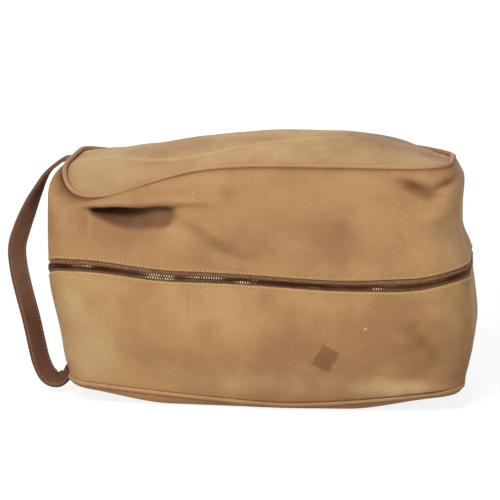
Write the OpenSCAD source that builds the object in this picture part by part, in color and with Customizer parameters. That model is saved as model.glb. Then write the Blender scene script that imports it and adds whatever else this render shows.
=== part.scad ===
// A soft leather travel bag that stands on its base. A zip runs round the front and both ends
// at half height, the leather of the back folds as the hinge, and a carry strap loops down
// the left end. Millimetres. The origin is the middle of the base where it rests,
// X runs to the right, Y to the back and Z up.

/* [Outline] */
// Half length of the bag at the zip
zip_half_length = 217; // [190:1:250]
// Half depth of the bag at the zip
zip_half_depth = 98; // [85:1:120]
// Height of the zip line at the ends and the back
zip_height = 140; // [125:1:155]
// How far the base seam lies inside the zip line at the left end
base_inset_left = 18.5; // [12:0.5:30]
// How far the base seam lies inside the zip line at the right end
base_inset_right = 8; // [6:1:24]
// How far the base seam lies inside the zip line at the front and back
base_inset_depth = 14; // [8:1:22]
// How far the top seam lies inside the zip line at the left end
top_inset_left = 10; // [6:1:20]
// How far the top seam lies inside the zip line at the right end
top_inset_right = 22; // [14:1:30]
// How far the top seam lies inside the zip line at the front and back
top_inset_depth = 10; // [6:1:18]
// Radius of the front left corner in plan
front_left_radius = 32; // [26:1:40]
// Radius of the front right corner in plan
front_right_radius = 54; // [44:1:60]
// Radius of the two back corners in plan
back_radius = 46; // [38:1:54]
// Radius of the top's back left corner in plan
top_back_radius = 30; // [20:1:46]
// Radius of the base's two front corners in plan
base_radius = 26; // [20:1:40]
// How much the two front corners of the top differ in radius from those at the zip
top_radius_shift = 12; // [0:1:20]

/* [Seams and sag] */
// Height of the base seam at its lowest, at the front
base_seam_height = 5.5; // [5:0.5:12]
// How much the base seam lifts towards the left end
base_lift_left = 18; // [6:1:20]
// How much the base seam lifts towards the right end
base_lift_right = 26; // [6:1:28]
// Distance of the base seam's lowest point to the right of the middle
base_low_point = 25; // [-40:1:60]
// Half length of the flat that the base stands on
flat_half_length = 125; // [100:1:140]
// Half depth of the flat that the base stands on
flat_half_depth = 60; // [50:1:66]
// Height of the top seam where it isn't slumped
top_seam_height = 252; // [237:1:270]
// How far the front left corner of the top has slumped
corner_slump = 36; // [0:1:40]
// How far the back right corner of the top has dropped
back_droop = 10; // [0:1:16]
// How high the middle of the top panel stands above its seam
crown_height = 22; // [8:1:28]
// How far the zip dips at the front
zip_dip = 6.2; // [0:0.2:12]
// How far the zip rises at the front left corner
zip_rise = 9; // [0:0.5:10]
// How far the zip rises at the front right corner
zip_rise_right = 4.5; // [0:0.5:8]
// How far the right end stands in at the zip, besides its bulge
zip_inset_right = 3; // [0:0.5:8]
// Depth of the hollow under the slumped corner
hollow_depth = 12; // [0:1:16]
// How far the lower wall bulges out at half height
wall_bulge = 3; // [0:0.5:6]

/* [Leather and lining] */
// Thickness of the leather walls and panels
leather = 1.8; // [1.4:0.1:2.4]
// Thickness of the cloth lining
cloth = 0.6; // [0.4:0.1:0.8]
// Clear space between two layers
layer_gap = 0.25; // [0.15:0.05:0.35]
// Radius of the piping that covers a seam
piping_radius = 2.1; // [1.8:0.1:2.6]
// Thickness of the leather wrapped round the piping cord
piping_leather = 0.85; // [0.6:0.05:1]

/* [Zip] */
// Width of zip shown between the two leather edges
zip_opening = 13; // [12:0.5:16]
// Thickness of the woven zip tape
tape_thickness = 0.8; // [0.6:0.1:1]
// Width of tape sewn under each leather edge
tape_overlap = 9; // [6:0.5:12]
// Distance from one tooth to the next in a row
tooth_pitch = 2.54; // [2.4:0.02:3]
// Width of a tooth along the zip
tooth_width = 1.05; // [0.8:0.05:1.1]
// Reach of a tooth across the zip
tooth_length = 3.6; // [3.2:0.1:4]
// Depth of a tooth through the zip
tooth_depth = 2.2; // [1.8:0.1:2.6]
// How far a tooth reaches past the middle of the zip
tooth_bite = 0.7; // [0.4:0.1:0.9]

/* [Slider and puller] */
// Length of the slider along the zip
slider_length = 14; // [12:0.5:16]
// Width of the slider across the zip
slider_width = 10; // [9.4:0.2:11]
// Thickness of each of the slider's two plates
slider_plate = 1; // [0.8:0.1:1.2]
// Clear space between a plate and the teeth
slider_gap = 0.35; // [0.3:0.05:0.5]
// Diameter of the bar that the puller hangs from
bar_diameter = 1.6; // [1.4:0.1:1.8]
// Thickness of the wire of the puller's link
link_wire = 1.3; // [1:0.1:1.4]
// Distance between the centres of the link's two bends
link_length = 7; // [6:0.5:9]
// Length of the puller tab
tab_length = 20; // [14:1:24]
// Width of the puller tab
tab_width = 7; // [6:0.5:9]
// Thickness of the puller tab
tab_thickness = 1.4; // [1:0.1:1.6]

/* [Strap] */
// How far the strap's loop stands out from the seams
strap_reach = 58.5; // [50:0.5:75]
// How far the strap's loop leans to the front
strap_lean = 37; // [30:1:40]
// Width of the carry strap
strap_width = 20; // [16:1:26]
// Thickness of each of the strap's two layers
strap_leather = 1.7; // [1.2:0.1:2.2]

/* [Stitching] */
// Distance from one stitch to the next
stitch_pitch = 3.9; // [3:0.1:5]
// Length of a stitch
stitch_length = 2.7; // [2:0.1:2.8]
// Thickness of the thread
thread = 0.7; // [0.5:0.1:0.9]
// Distance of a row of stitches from the edge of the leather
stitch_margin = 2.4; // [2:0.1:3]

/* [Hidden] */

// Steps of the mesh along each stretch of the outline
back_steps = 3;
corner_steps = 5;
side_steps = 4;
front_steps = 14;
// Length of the span in which the tape tucks in behind the leather at its ends
tuck = 4;
stations = 2 * back_steps + 4 * corner_steps + 2 * side_steps + front_steps;
first_wall = back_steps;
last_wall = stations - back_steps;

// Colours
tan_leather = [0.72, 0.56, 0.39];
strap_brown = [0.42, 0.26, 0.18];
lining_cloth = [0.52, 0.44, 0.34];
tape_brown = [0.32, 0.2, 0.13];
brass = [0.74, 0.58, 0.32];
ochre_thread = [0.84, 0.66, 0.36];
cord_white = [0.85, 0.82, 0.75];

// Small helpers
function smooth(t) = let (c = min(max(t, 0), 1)) c * c * (3 - 2 * c);
function bump(x, middle, spread) = exp(-pow((x - middle) / spread, 2));
function mix(a, b, t) = a + (b - a) * t;
function unit(v) = v / norm(v);

// Each station of an outline is [x, y, outward x, outward y]
function line_stations(a, b, n, out) = [
    for (k = [0 : n - 1]) concat(mix(a, b, k / n), out)
];
function side_stations(x, from, to, out, tuck_first) = [
    for (k = [0 : side_steps - 1])
        let (
            step = (abs(to - from) - tuck) / (side_steps - 1),
            run = !tuck_first ? k * step : k == 0 ? 0 : tuck + (k - 1) * step
        )
        concat([x, from + sign(to - from) * run], out)
];
function arc_stations(centre, r, from, to, n) = [
    for (k = [0 : n - 1])
        let (t = mix(from, to, k / n))
        [centre.x + r * cos(t), centre.y + r * sin(t), cos(t), sin(t)]
];

// A rounded rectangle, from the middle of the back by way of the left end
function outline(left, right, depth, r_left, r_right, r_back, r_back_left) = concat(
    line_stations([0, depth], [r_back_left - left, depth], back_steps, [0, 1]),
    arc_stations([r_back_left - left, depth - r_back_left], r_back_left, 90, 180, corner_steps),
    side_stations(-left, depth - r_back_left, r_left - depth, [-1, 0], true),
    arc_stations([r_left - left, r_left - depth], r_left, 180, 270, corner_steps),
    line_stations([r_left - left, -depth], [right - r_right, -depth], front_steps, [0, -1]),
    arc_stations([right - r_right, r_right - depth], r_right, 270, 360, corner_steps),
    side_stations(right, r_right - depth, depth - r_back, [1, 0], false),
    arc_stations([right - r_back, depth - r_back], r_back, 0, 90, corner_steps),
    line_stations([right - r_back, depth], [0, depth], back_steps, [0, 1])
);

// The same outline drawn in by a distance
function base_outline(d) = outline(
    zip_half_length - base_inset_left - d, zip_half_length - base_inset_right - d,
    zip_half_depth - base_inset_depth - d,
    max(base_radius - d, 3), max(base_radius - d, 3),
    max(back_radius - d, 3), max(back_radius - d, 3));
top_left_radius = front_left_radius + top_radius_shift + top_inset_right - top_inset_left;
function top_outline(d) = outline(
    zip_half_length - top_inset_left - d, zip_half_length - top_inset_right - d,
    zip_half_depth - top_inset_depth - d,
    top_left_radius - d, front_right_radius - top_radius_shift - d,
    back_radius - d, top_back_radius - d);

zip_rim = outline(zip_half_length, zip_half_length - zip_inset_right, zip_half_depth,
    front_left_radius, front_right_radius, back_radius, back_radius);
base_rim = base_outline(0);
top_rim = top_outline(0);

// Places of the sags and waves along the bag, and how far each spreads
front_zone = 45;
lift_power_left = 1.3;
lift_power_right = 1.55;
zip_rise_start = 80;
zip_rise_run = 105;
zip_rise_corner = 64;
zip_rise_corner_run = 34;
zip_rise_right_start = 150;
zip_rise_right_run = 60;
zip_rise_right_back = 20;
zip_rise_right_depth = 60;
zip_dip_place = 90;
zip_dip_spread = 95;
slump_inset = 43;
slump_spread = 85;
slump_behind = 0.48;
slump_shift = 22;
slump_start = 15;
slump_run = 65;
droop_inset = 22;
droop_spread = 70;
droop_start = 20;
droop_run = 80;

// How much a place belongs to the front, where the zip dips
function frontness(y) = smooth((-y - zip_half_depth + front_zone) / front_zone);

// Heights of the three seams
function base_z(p) =
    let (away = (p.x - base_low_point) / zip_half_length)
    base_seam_height + (away < 0
        ? base_lift_left * pow(-away, lift_power_left)
        : base_lift_right * pow(away, lift_power_right));
function zip_z(p) = zip_height
    + zip_rise * smooth((-p.x - zip_rise_start) / zip_rise_run)
        * smooth((-p.y - zip_rise_corner) / zip_rise_corner_run)
    + zip_rise_right * smooth((p.x - zip_rise_right_start) / zip_rise_right_run)
        * smooth((zip_rise_right_back - p.y) / zip_rise_right_depth)
    - zip_dip * bump(p.x, zip_dip_place, zip_dip_spread) * frontness(p.y);
function top_z(p) =
    let (
        ahead = smooth((-p.y - slump_start) / slump_run),
        place = slump_inset + slump_shift * (1 - ahead) - zip_half_length
    )
    top_seam_height
    - corner_slump * bump(p.x, place, slump_spread) * mix(slump_behind, 1, ahead)
    - back_droop * bump(p.x, zip_half_length - droop_inset, droop_spread)
        * smooth((p.y + droop_start) / droop_run);

// How the walls curve: the powers of their sections at the middle of the bag, and how much
// these change towards its right end
lower_curve = 0.75;
lower_curve_change = -0.35;
lower_curve_left = 1.2;
left_end_start = 0.7;
left_bulge = 0.2;
top_roll = 12;
top_roll_change = -4;
lean_middle = 0.25;
lean_change = 0.3;
lean_share = 0.38;
hollow_inset = 93;
hollow_spread = 46;
hollow_height = 55;
hollow_rise = 17;
function along_bag(x) = x / zip_half_length;
function left_share(x) = smooth((-along_bag(x) - left_end_start) / (1 - left_end_start));

// Outer face of the lower wall at a station, from the base seam at 0 to the zip line at 1
function lower_face(i, v) =
    let (
        b = base_rim[i], m = zip_rim[i],
        left = left_share(m.x),
        curve = lower_curve + lower_curve_change * along_bag(m.x) + lower_curve_left * left,
        w = pow(sin(90 * min(v, 1)), curve),
        out = unit(mix([b[2], b[3]], [m[2], m[3]], w)),
        bulge = wall_bulge * mix(1, left_bulge, left) * pow(sin(180 * min(v, 1)), 2),
        flat = mix([b.x, b.y], [m.x, m.y], w) + out * bulge
    )
    [flat.x, flat.y, mix(base_z(b), zip_z(m), v)];

// Outer face of the upper wall at a station, from the zip line at 0 to its top edge at 1
function upper_face(i, v) =
    let (
        m = zip_rim[i], t = top_rim[i],
        lean = max(0, lean_middle + lean_change * along_bag(m.x)),
        roll = top_roll + top_roll_change * along_bag(m.x),
        u = max(v, 0),
        w = lean * smooth(u / lean_share) + (1 - lean) * pow(u, roll),
        out = unit(mix([m[2], m[3]], [t[2], t[3]], w)),
        z = mix(zip_z(m), top_z(t), v),
        hollow = hollow_depth * bump(m.x, hollow_inset - zip_half_length, hollow_spread)
            * bump(z, zip_height + hollow_height, hollow_rise) * smooth(-out.y),
        flat = mix([m.x, m.y], [t.x, t.y], w) - out * hollow
    )
    [flat.x, flat.y, z];

// The same faces sunk by a depth at a right angle to the leather
function sunk(a, b, out, depth) =
    let (
        rise = b.z - a.z,
        run = (b.x - a.x) * out.x + (b.y - a.y) * out.y,
        length = norm([run, rise])
    )
    depth / length * [-out.x * rise, -out.y * rise, run];
lower_reach = 0.02;
upper_reach = 0.01;
function way_out(i) = unit([zip_rim[i][2] + base_rim[i][2], zip_rim[i][3] + base_rim[i][3]]);
function lower_skin(i, v, depth) =
    lower_face(i, v) + sunk(lower_face(i, max(v - lower_reach, 0)),
        lower_face(i, min(v + lower_reach, 1)), way_out(i), depth);
function upper_skin(i, v, depth) =
    upper_face(i, v) + sunk(upper_face(i, max(v - upper_reach, 0)),
        upper_face(i, min(v + upper_reach, 1)), way_out(i), depth);

// Part of a wall's height that a distance takes up
function lower_part(i, d) = d / (zip_z(zip_rim[i]) - base_z(base_rim[i]));
function upper_part(i, d) = d / (top_z(top_rim[i]) - zip_z(zip_rim[i]));

// Half width of the slit between the leather edges, which closes behind the chain's ends
slit_closed = 0.3;
straight_end = zip_half_depth - back_radius;
slit_fade = 14;
function slit(i) = mix(slit_closed, zip_opening / 2,
    smooth((straight_end + slit_fade - zip_rim[i].y) / slit_fade));

// A closed sheet from two grids of points with equal rows: its front and its back.
// Each grid is a list of columns. The sheet is open at both ends unless it goes round.
module sheet(front, back, round) {
    columns = len(front);
    rows = len(front[0]);
    spans = round ? columns : columns - 1;
    second = columns * rows;
    points = concat([for (c = front) each c], [for (c = back) each c]);
    function at(c, r) = (c % columns) * rows + r;
    faces = concat(
        [for (c = [0 : spans - 1], r = [0 : rows - 2]) each [
            [at(c, r), at(c, r + 1), at(c + 1, r + 1)],
            [at(c, r), at(c + 1, r + 1), at(c + 1, r)],
            [second + at(c, r), second + at(c + 1, r + 1), second + at(c, r + 1)],
            [second + at(c, r), second + at(c + 1, r), second + at(c + 1, r + 1)]
        ]],
        [for (c = [0 : spans - 1]) each [
            [at(c, 0), at(c + 1, 0), second + at(c, 0)],
            [at(c + 1, 0), second + at(c + 1, 0), second + at(c, 0)],
            [at(c, rows - 1), second + at(c, rows - 1), at(c + 1, rows - 1)],
            [at(c + 1, rows - 1), second + at(c, rows - 1), second + at(c + 1, rows - 1)]
        ]],
        round ? [] : [for (r = [0 : rows - 2]) each [
            [at(0, r), second + at(0, r), at(0, r + 1)],
            [second + at(0, r), second + at(0, r + 1), at(0, r + 1)],
            [at(spans, r), at(spans, r + 1), second + at(spans, r)],
            [second + at(spans, r), at(spans, r + 1), second + at(spans, r + 1)]
        ]]
    );
    polyhedron(points, faces);
}

// A closed cup from two grids of columns that meet in a point: its outside and its inside.
// Column points run from the rim to the middle, and each grid's middle is given once.
module cup(outside, inside, outer_middle, inner_middle) {
    columns = len(outside);
    rows = len(outside[0]);
    second = columns * rows;
    middle = 2 * columns * rows;
    points = concat([for (c = outside) each c], [for (c = inside) each c],
        [outer_middle, inner_middle]);
    function at(c, r) = (c % columns) * rows + r;
    faces = concat(
        [for (c = [0 : columns - 1], r = [0 : rows - 2]) each [
            [at(c, r), at(c + 1, r + 1), at(c, r + 1)],
            [at(c, r), at(c + 1, r), at(c + 1, r + 1)],
            [second + at(c, r), second + at(c, r + 1), second + at(c + 1, r + 1)],
            [second + at(c, r), second + at(c + 1, r + 1), second + at(c + 1, r)]
        ]],
        [for (c = [0 : columns - 1]) each [
            [at(c, 0), second + at(c, 0), at(c + 1, 0)],
            [at(c + 1, 0), second + at(c, 0), second + at(c + 1, 0)],
            [at(c, rows - 1), at(c + 1, rows - 1), middle],
            [second + at(c + 1, rows - 1), second + at(c, rows - 1), middle + 1]
        ]]
    );
    polyhedron(points, faces);
}

// A ring of one cross-section, swept round all the columns
module closed_sweep(columns) {
    sides = len(columns[0]);
    count = len(columns);
    function at(c, k) = (c % count) * sides + k % sides;
    polyhedron([for (c = columns) each c], [
        for (c = [0 : count - 1], k = [0 : sides - 1]) each [
            [at(c, k), at(c, k + 1), at(c + 1, k + 1)],
            [at(c, k), at(c + 1, k + 1), at(c + 1, k)]
        ]
    ]);
}

// Walls, in rows from the seam to the edge of the tape behind them, and on to the slit
lower_rows = [0, 0.06, 0.16, 0.36, 0.66, 1];
upper_rows = [0, 0.2, 0.44, 0.62, 0.75, 0.85, 0.93, 0.98, 1];
seam_gap = piping_radius + layer_gap;
function lower_v(i, r) = mix(lower_part(i, seam_gap), 1 - lower_part(i, slit(i) + tape_overlap), r);
function upper_v(i, r) = mix(upper_part(i, slit(i) + tape_overlap), 1, r);
function lower_rim(i, d, depth) = lower_skin(i, 1 - lower_part(i, d), depth);
function upper_rim(i, d, depth) = upper_skin(i, upper_part(i, d), depth);
function lower_column(i, depth) = concat(
    [for (r = lower_rows) lower_skin(i, lower_v(i, r), depth)],
    [lower_rim(i, slit(i), depth)]
);
function upper_column(i, depth) = concat(
    [upper_rim(i, slit(i), depth)],
    [for (r = upper_rows) upper_skin(i, upper_v(i, r), depth)]
);
module lower_band(from, to) {
    sheet([for (i = [from : to]) lower_column(i % stations, 0)],
        [for (i = [from : to]) lower_column(i % stations, leather)], false);
}
module upper_band(from, to) {
    sheet([for (i = [from : to]) upper_column(i % stations, 0)],
        [for (i = [from : to]) upper_column(i % stations, leather)], false);
}
module lower_wall() {
    color(tan_leather) lower_band(first_wall, last_wall);
}
module lower_back() {
    color(tan_leather) lower_band(last_wall, stations + first_wall);
}
module upper_wall() {
    color(tan_leather) upper_band(first_wall, last_wall);
}
module upper_back() {
    color(tan_leather) upper_band(last_wall, stations + first_wall);
}

// Base panel: it curves down from its seam, lies flat in the middle and lifts at its ends
base_end_rise = 16;
base_rise_run = 110;
base_rise_start = 35;
base_rise_limit = 0.8;
flat_radius = 20;
// Rows of the base panel: how far in from the seam, and the share of the seam's height
base_rows = [[0.3, 1], [2.5, 0.5], [11, 0.08], [25, 0]];
base_rings = [for (row = base_rows) base_outline(row[0])];
flat_ring = outline(flat_half_length, flat_half_length, flat_half_depth,
    flat_radius, flat_radius, flat_radius, flat_radius);
function base_rise(x) = base_end_rise
    * smooth((abs(x) - flat_half_length + base_rise_start) / base_rise_run);
function base_point(i, k, depth) =
    let (
        p = base_rings[k][i],
        edge = base_z(base_rim[i]) - seam_gap,
        sink = k == 0 ? depth : depth / 2
    )
    [p.x - p[2] * sink, p.y - p[3] * sink,
        mix(min(base_rise(p.x), edge * base_rise_limit), edge, base_rows[k][1])
            + (k == 0 ? 0 : depth)];
function base_column(i, first, depth) = concat(
    [for (k = [first : len(base_rows) - 1]) base_point(i, k, depth)],
    [[flat_ring[i].x, flat_ring[i].y, depth]]
);
module base_panel() {
    color(tan_leather)
        cup([for (i = [0 : stations - 1]) base_column(i, 0, 0)],
            [for (i = [0 : stations - 1]) base_column(i, 0, leather)],
            [0, 0, 0], [0, 0, leather]);
}

// Top panel: it rises from its seam to a soft crown
crown_spread_left = 233;
crown_spread_right = 200;
crown_bend_left = 1.7;
crown_bend_right = 3;
crown_foot = 22;
crown_power = 2.4;
spine_share = 1.1;
top_edge = top_outline(2 * seam_gap);
spine_end = zip_half_length - top_inset_right - zip_half_depth;
top_fractions = [1, 0.93, 0.78, 0.5, 0.22];
function crown_fall(x) =
    let (away = x - base_low_point)
    away < 0 ? pow(-away / crown_spread_left, crown_bend_left)
        : pow(away / crown_spread_right, crown_bend_right);
function crown_z(x) = top_seam_height - crown_foot
    + (crown_height + crown_foot) * exp(-crown_fall(x));
function top_point(i, s, depth) =
    let (
        e = top_edge[i],
        q = [min(max(e.x, -spine_end), spine_end) * spine_share, 0],
        x = mix(q.x, e.x, s),
        y = mix(q.y, e.y, s)
    )
    [x, y, mix(crown_z(x), top_z(top_rim[i]), pow(s, crown_power)) - depth];
function top_column(i, depth) = [for (s = top_fractions) top_point(i, s, depth)];
module top_panel() {
    color(tan_leather)
        cup([for (i = [stations - 1 : -1 : 0]) top_column(i, 0)],
            [for (i = [stations - 1 : -1 : 0]) top_column(i, leather)],
            [0, 0, crown_z(0)], [0, 0, crown_z(0) - leather]);
}

// Linings: a cloth cup in each half, sewn to the zip tape at its rim
lining_slack = 1.2;
lining_depth = leather + tape_thickness + 2 * layer_gap + lining_slack;
lining_rim = 3;
lining_part = lining_rim / tape_overlap;
function lower_lining_column(i, depth) = concat(
    [mix(lower_rim(i, slit(i), depth), lower_skin(i, lower_v(i, 1), depth), lining_part)],
    [for (k = [len(lower_rows) - 1 : -1 : 1]) lower_skin(i, lower_v(i, lower_rows[k]), depth)],
    base_column(i, 2, depth - lining_depth + leather + layer_gap)
);
module lower_lining() {
    color(lining_cloth)
        cup([for (i = [0 : stations - 1]) lower_lining_column(i, lining_depth)],
            [for (i = [0 : stations - 1]) lower_lining_column(i, lining_depth + cloth)],
            [0, 0, leather + layer_gap], [0, 0, leather + layer_gap + cloth]);
}
lining_drop = 3;
function upper_lining_column(i, depth) = concat(
    [mix(upper_rim(i, slit(i), depth), upper_skin(i, upper_v(i, 0), depth), lining_part)],
    [for (k = [0 : len(upper_rows) - 4]) upper_skin(i, upper_v(i, upper_rows[k]), depth)],
    [for (k = [1 : len(top_fractions) - 1])
        top_point(i, top_fractions[k], depth + (k == 1 ? lining_drop : 0))]
);
module upper_lining() {
    color(lining_cloth)
        cup([for (i = [stations - 1 : -1 : 0]) upper_lining_column(i, lining_depth)],
            [for (i = [stations - 1 : -1 : 0]) upper_lining_column(i, lining_depth + cloth)],
            [0, 0, crown_z(0) - lining_depth], [0, 0, crown_z(0) - lining_depth - cloth]);
}

// Piping: leather wrapped round a cord, open towards the seam inside
base_piping_line = base_outline(1);
top_piping_line = top_outline(seam_gap);
top_piping_lift = 1.5;
cord_gap = 0.2;
function top_bead(i) = top_z(top_rim[i]) + top_piping_lift;
wrap_angles = [-150 : 60 : 150];
cord_radius = piping_radius - piping_leather - cord_gap;
function piping_point(p, z, r, angle) = [p.x + p[2] * r * cos(angle), p.y + p[3] * r * cos(angle),
    z + r * sin(angle)];
function wrap_column(p, z, turn) = concat(
    [for (a = wrap_angles) piping_point(p, z, piping_radius, a + turn)],
    [for (a = [150 : -60 : -150]) piping_point(p, z, piping_radius - piping_leather, a + turn)]
);
function cord_column(p, z) = [for (a = [0 : 60 : 300]) piping_point(p, z, cord_radius, a + 30)];
module base_piping() {
    color(tan_leather)
        closed_sweep([for (i = [0 : stations - 1])
            wrap_column(base_piping_line[i], base_z(base_rim[i]), 0)]);
}
module base_piping_cord() {
    color(cord_white)
        closed_sweep([for (i = [0 : stations - 1])
            cord_column(base_piping_line[i], base_z(base_rim[i]))]);
}
module top_piping() {
    color(tan_leather)
        closed_sweep([for (i = [0 : stations - 1])
            wrap_column(top_piping_line[i], top_bead(i), 90)]);
}
module top_piping_cord() {
    color(cord_white)
        closed_sweep([for (i = [0 : stations - 1])
            cord_column(top_piping_line[i], top_bead(i))]);
}

// Zip line, as the middle of the chain seen from above, from the left fold to the right one
chain_depth = 0.9;
chain_route = [for (i = [first_wall : last_wall])
    let (p = zip_rim[i])
    [p.x - p[2] * chain_depth, p.y - p[3] * chain_depth, zip_z(p)]];

// Distance along a route at each of its points, and a lookup table for each coordinate
function distances(route) = [
    for (k = 0, s = 0; k < len(route);
        s = s + (k + 1 < len(route) ? norm(route[k + 1] - route[k]) : 0), k = k + 1) s
];
function tables(route) =
    let (s = distances(route))
    [for (axis = [0 : 2]) [for (k = [0 : len(route) - 1]) [s[k], route[k][axis]]]];
function along(t, s) = [for (axis = [0 : 2]) lookup(s, t[axis])];

// Puts children at a distance along a route: X outwards, Y along the route and Z across it
turn_reach = 3;
module place(t, s) {
    p = along(t, s);
    forward = unit(along(t, s + turn_reach) - along(t, s - turn_reach));
    out = unit(cross(forward, [0, 0, 1]));
    up = cross(out, forward);
    multmatrix([
        [out.x, forward.x, up.x, p.x],
        [out.y, forward.y, up.y, p.y],
        [out.z, forward.z, up.z, p.z]
    ]) children();
}

// The chain runs between the two folds, and stops where the slider rests at the left
chain = tables(chain_route);
chain_distances = distances(chain_route);
left_end = chain_distances[corner_steps];
right_end = chain_distances[last_wall - first_wall - corner_steps];
slider_y = straight_end - tuck - 1 - slider_length / 2;
stop_length = 3;
stop_distance = 2.5;
first_tooth = left_end + straight_end - slider_y + slider_length / 2 + 0.5 + tooth_width / 2;
last_tooth = right_end - stop_length - 1;
tooth_count = floor((last_tooth - first_tooth) / tooth_pitch);
module tooth() {
    translate([-tooth_depth / 2, -tooth_width / 2, 0])
        cube([tooth_depth, tooth_width, tooth_length]);
}
module lower_zip_teeth() {
    color(brass)
        for (k = [0 : tooth_count - 1])
            place(chain, first_tooth + k * tooth_pitch)
                translate([0, 0, tooth_bite - tooth_length]) tooth();
}
module upper_zip_teeth() {
    color(brass)
        for (k = [0 : tooth_count - 1])
            place(chain, first_tooth + (k + 0.5) * tooth_pitch)
                translate([0, 0, -tooth_bite]) tooth();
}

// Stops crimped on the tapes at the two ends of the chain
module stop() {
    translate([-tooth_depth / 2, -stop_length / 2, 0])
        cube([tooth_depth, stop_length, tooth_length - 1]);
}
module lower_top_stop() {
    color(brass)
        place(chain, left_end + tuck / 2)
            translate([0, 0, tooth_bite - tooth_length]) stop();
}
module upper_top_stop() {
    color(brass)
        place(chain, left_end + tuck / 2)
            translate([0, 0, 1 - tooth_bite]) stop();
}
module zip_bottom_stop() {
    color(brass)
        place(chain, last_tooth + stop_distance)
            translate([0, 0, tooth_bite - tooth_length]) stop();
}

// Woven tapes: each lies under its leather edge and bows out to carry its teeth
tooth_gap = 0.4;
tape_root = tooth_length - tooth_bite + tooth_gap;
tape_bow = 2.2;
tape_rows = [zip_opening / 2 + tape_overlap, zip_opening / 2, zip_opening / 2 - tape_bow, tape_root];
function tape_depth(i, k) =
    k > 1 && zip_rim[i].y < straight_end - tuck / 2
    ? chain_depth - tape_thickness / 2 : leather + layer_gap;
function lower_tape_column(i, extra) = [for (k = [0 : 3])
    lower_rim(i, tape_rows[k], tape_depth(i, k) + extra)];
function upper_tape_column(i, extra) = [for (k = [0 : 3])
    upper_rim(i, tape_rows[k], tape_depth(i, k) + extra)];
tape_first = first_wall + 4;
tape_last = last_wall - 4;
module lower_zip_tape() {
    color(tape_brown)
        sheet([for (i = [tape_first : tape_last]) lower_tape_column(i, 0)],
            [for (i = [tape_first : tape_last]) lower_tape_column(i, tape_thickness)], false);
}
module upper_zip_tape() {
    color(tape_brown)
        sheet([for (i = [tape_last : -1 : tape_first]) upper_tape_column(i, 0)],
            [for (i = [tape_last : -1 : tape_first]) upper_tape_column(i, tape_thickness)], false);
}

// Stitches that hold the leather edges to the tapes
module stitch() {
    rotate([90, 0, 0])
        cylinder(h = stitch_length, d = thread, center = true, $fn = 16);
}
seat = -thread / 2 - 0.1;
first_stitched = first_wall + 4;
last_stitched = last_wall - 4;
lower_stitch_route = [for (i = [first_stitched : last_stitched])
    lower_rim(i, slit(i) + stitch_margin, seat)];
upper_stitch_route = [for (i = [first_stitched : last_stitched])
    upper_rim(i, slit(i) + stitch_margin, seat)];
module stitch_row(route) {
    t = tables(route);
    total = distances(route)[len(route) - 1];
    count = floor(total / stitch_pitch);
    for (k = [0 : count - 1]) place(t, (k + 0.5) * stitch_pitch) stitch();
}
module lower_zip_stitching() {
    color(ochre_thread) stitch_row(lower_stitch_route);
}
module upper_zip_stitching() {
    color(ochre_thread) stitch_row(upper_stitch_route);
}

// Slider: two plates joined by a post, with lips that hold the rows together.
// Built round the middle of the chain with X through it, Y along it and Z across it.
slider_half_gap = tooth_depth / 2 + slider_gap;
slider_back = slider_half_gap + slider_plate;
narrow_end = slider_width / 2 - 0.6;
post_half = 1.5;
post_start = 1;
post_middle = 3;
bevel = 1.2;
shoulder = 4;
lip = 0.5;
lip_length = 6;
lip_height = 0.9;
lip_place = -2.5;
lip_inset = 1.2;
module slider_outline() {
    half = slider_length / 2;
    wide = slider_width / 2;
    polygon([
        [-half, -narrow_end + bevel], [-half + bevel, -narrow_end], [half - shoulder, -wide],
        [half - bevel, -wide], [half, -wide + bevel], [half, wide - bevel], [half - bevel, wide],
        [half - shoulder, wide], [-half + bevel, narrow_end], [-half, narrow_end - bevel]
    ]);
}
module on_slider() {
    translate([chain_depth - zip_half_length, slider_y, zip_height]) children();
}
module along_chain(from, thickness) {
    translate([from, 0, 0]) rotate([90, 0, 90]) linear_extrude(thickness) children();
}
module slider_body() {
    color(brass) on_slider() {
        along_chain(-slider_back, slider_plate) slider_outline();
        along_chain(slider_half_gap, slider_plate) slider_outline();
        along_chain(-slider_half_gap, 2 * slider_half_gap)
            polygon([[post_start, 0], [post_middle, -post_half],
                [slider_length / 2 - post_start, 0], [post_middle, post_half]]);
        for (side = [-1, 1], plate = [-1, 1])
            translate([plate * (slider_half_gap - lip / 2), lip_place,
                side * (slider_width / 2 - lip_inset)])
                cube([lip, lip_length, lip_height], center = true);
    }
}

// Bridge: a bar on two feet, from which the puller hangs
bar_reach = link_wire + 0.5 + bar_diameter / 2 + 0.3;
link_radius = bar_diameter / 2 + 0.5 + link_wire / 2;
bar_offset = -slider_back - bar_reach;
foot = 1.4;
bar_length = slider_length - 4;
module slider_bridge() {
    color(brass) on_slider() {
        translate([bar_offset, 0, 0])
            rotate([90, 0, 0]) cylinder(h = bar_length, d = bar_diameter, center = true, $fn = 24);
        for (side = [-1, 1])
            translate([(bar_offset - slider_back) / 2, side * (bar_length - foot) / 2, 0])
                cube([bar_reach, foot, bar_diameter], center = true);
    }
}

// Link: a long ring of wire round the bar, hanging square to the wall
module half_ring() {
    rotate([90, 0, 0]) rotate_extrude(angle = 180, $fn = 48)
        translate([link_radius, 0]) circle(d = link_wire, $fn = 24);
}
module puller_link() {
    color(brass) on_slider() translate([bar_offset, 0, 0]) {
        half_ring();
        translate([0, 0, -link_length]) mirror([0, 0, 1]) half_ring();
        for (side = [-1, 1])
            translate([side * link_radius, 0, -link_length])
                cylinder(h = link_length, d = link_wire, $fn = 24);
    }
}

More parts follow.
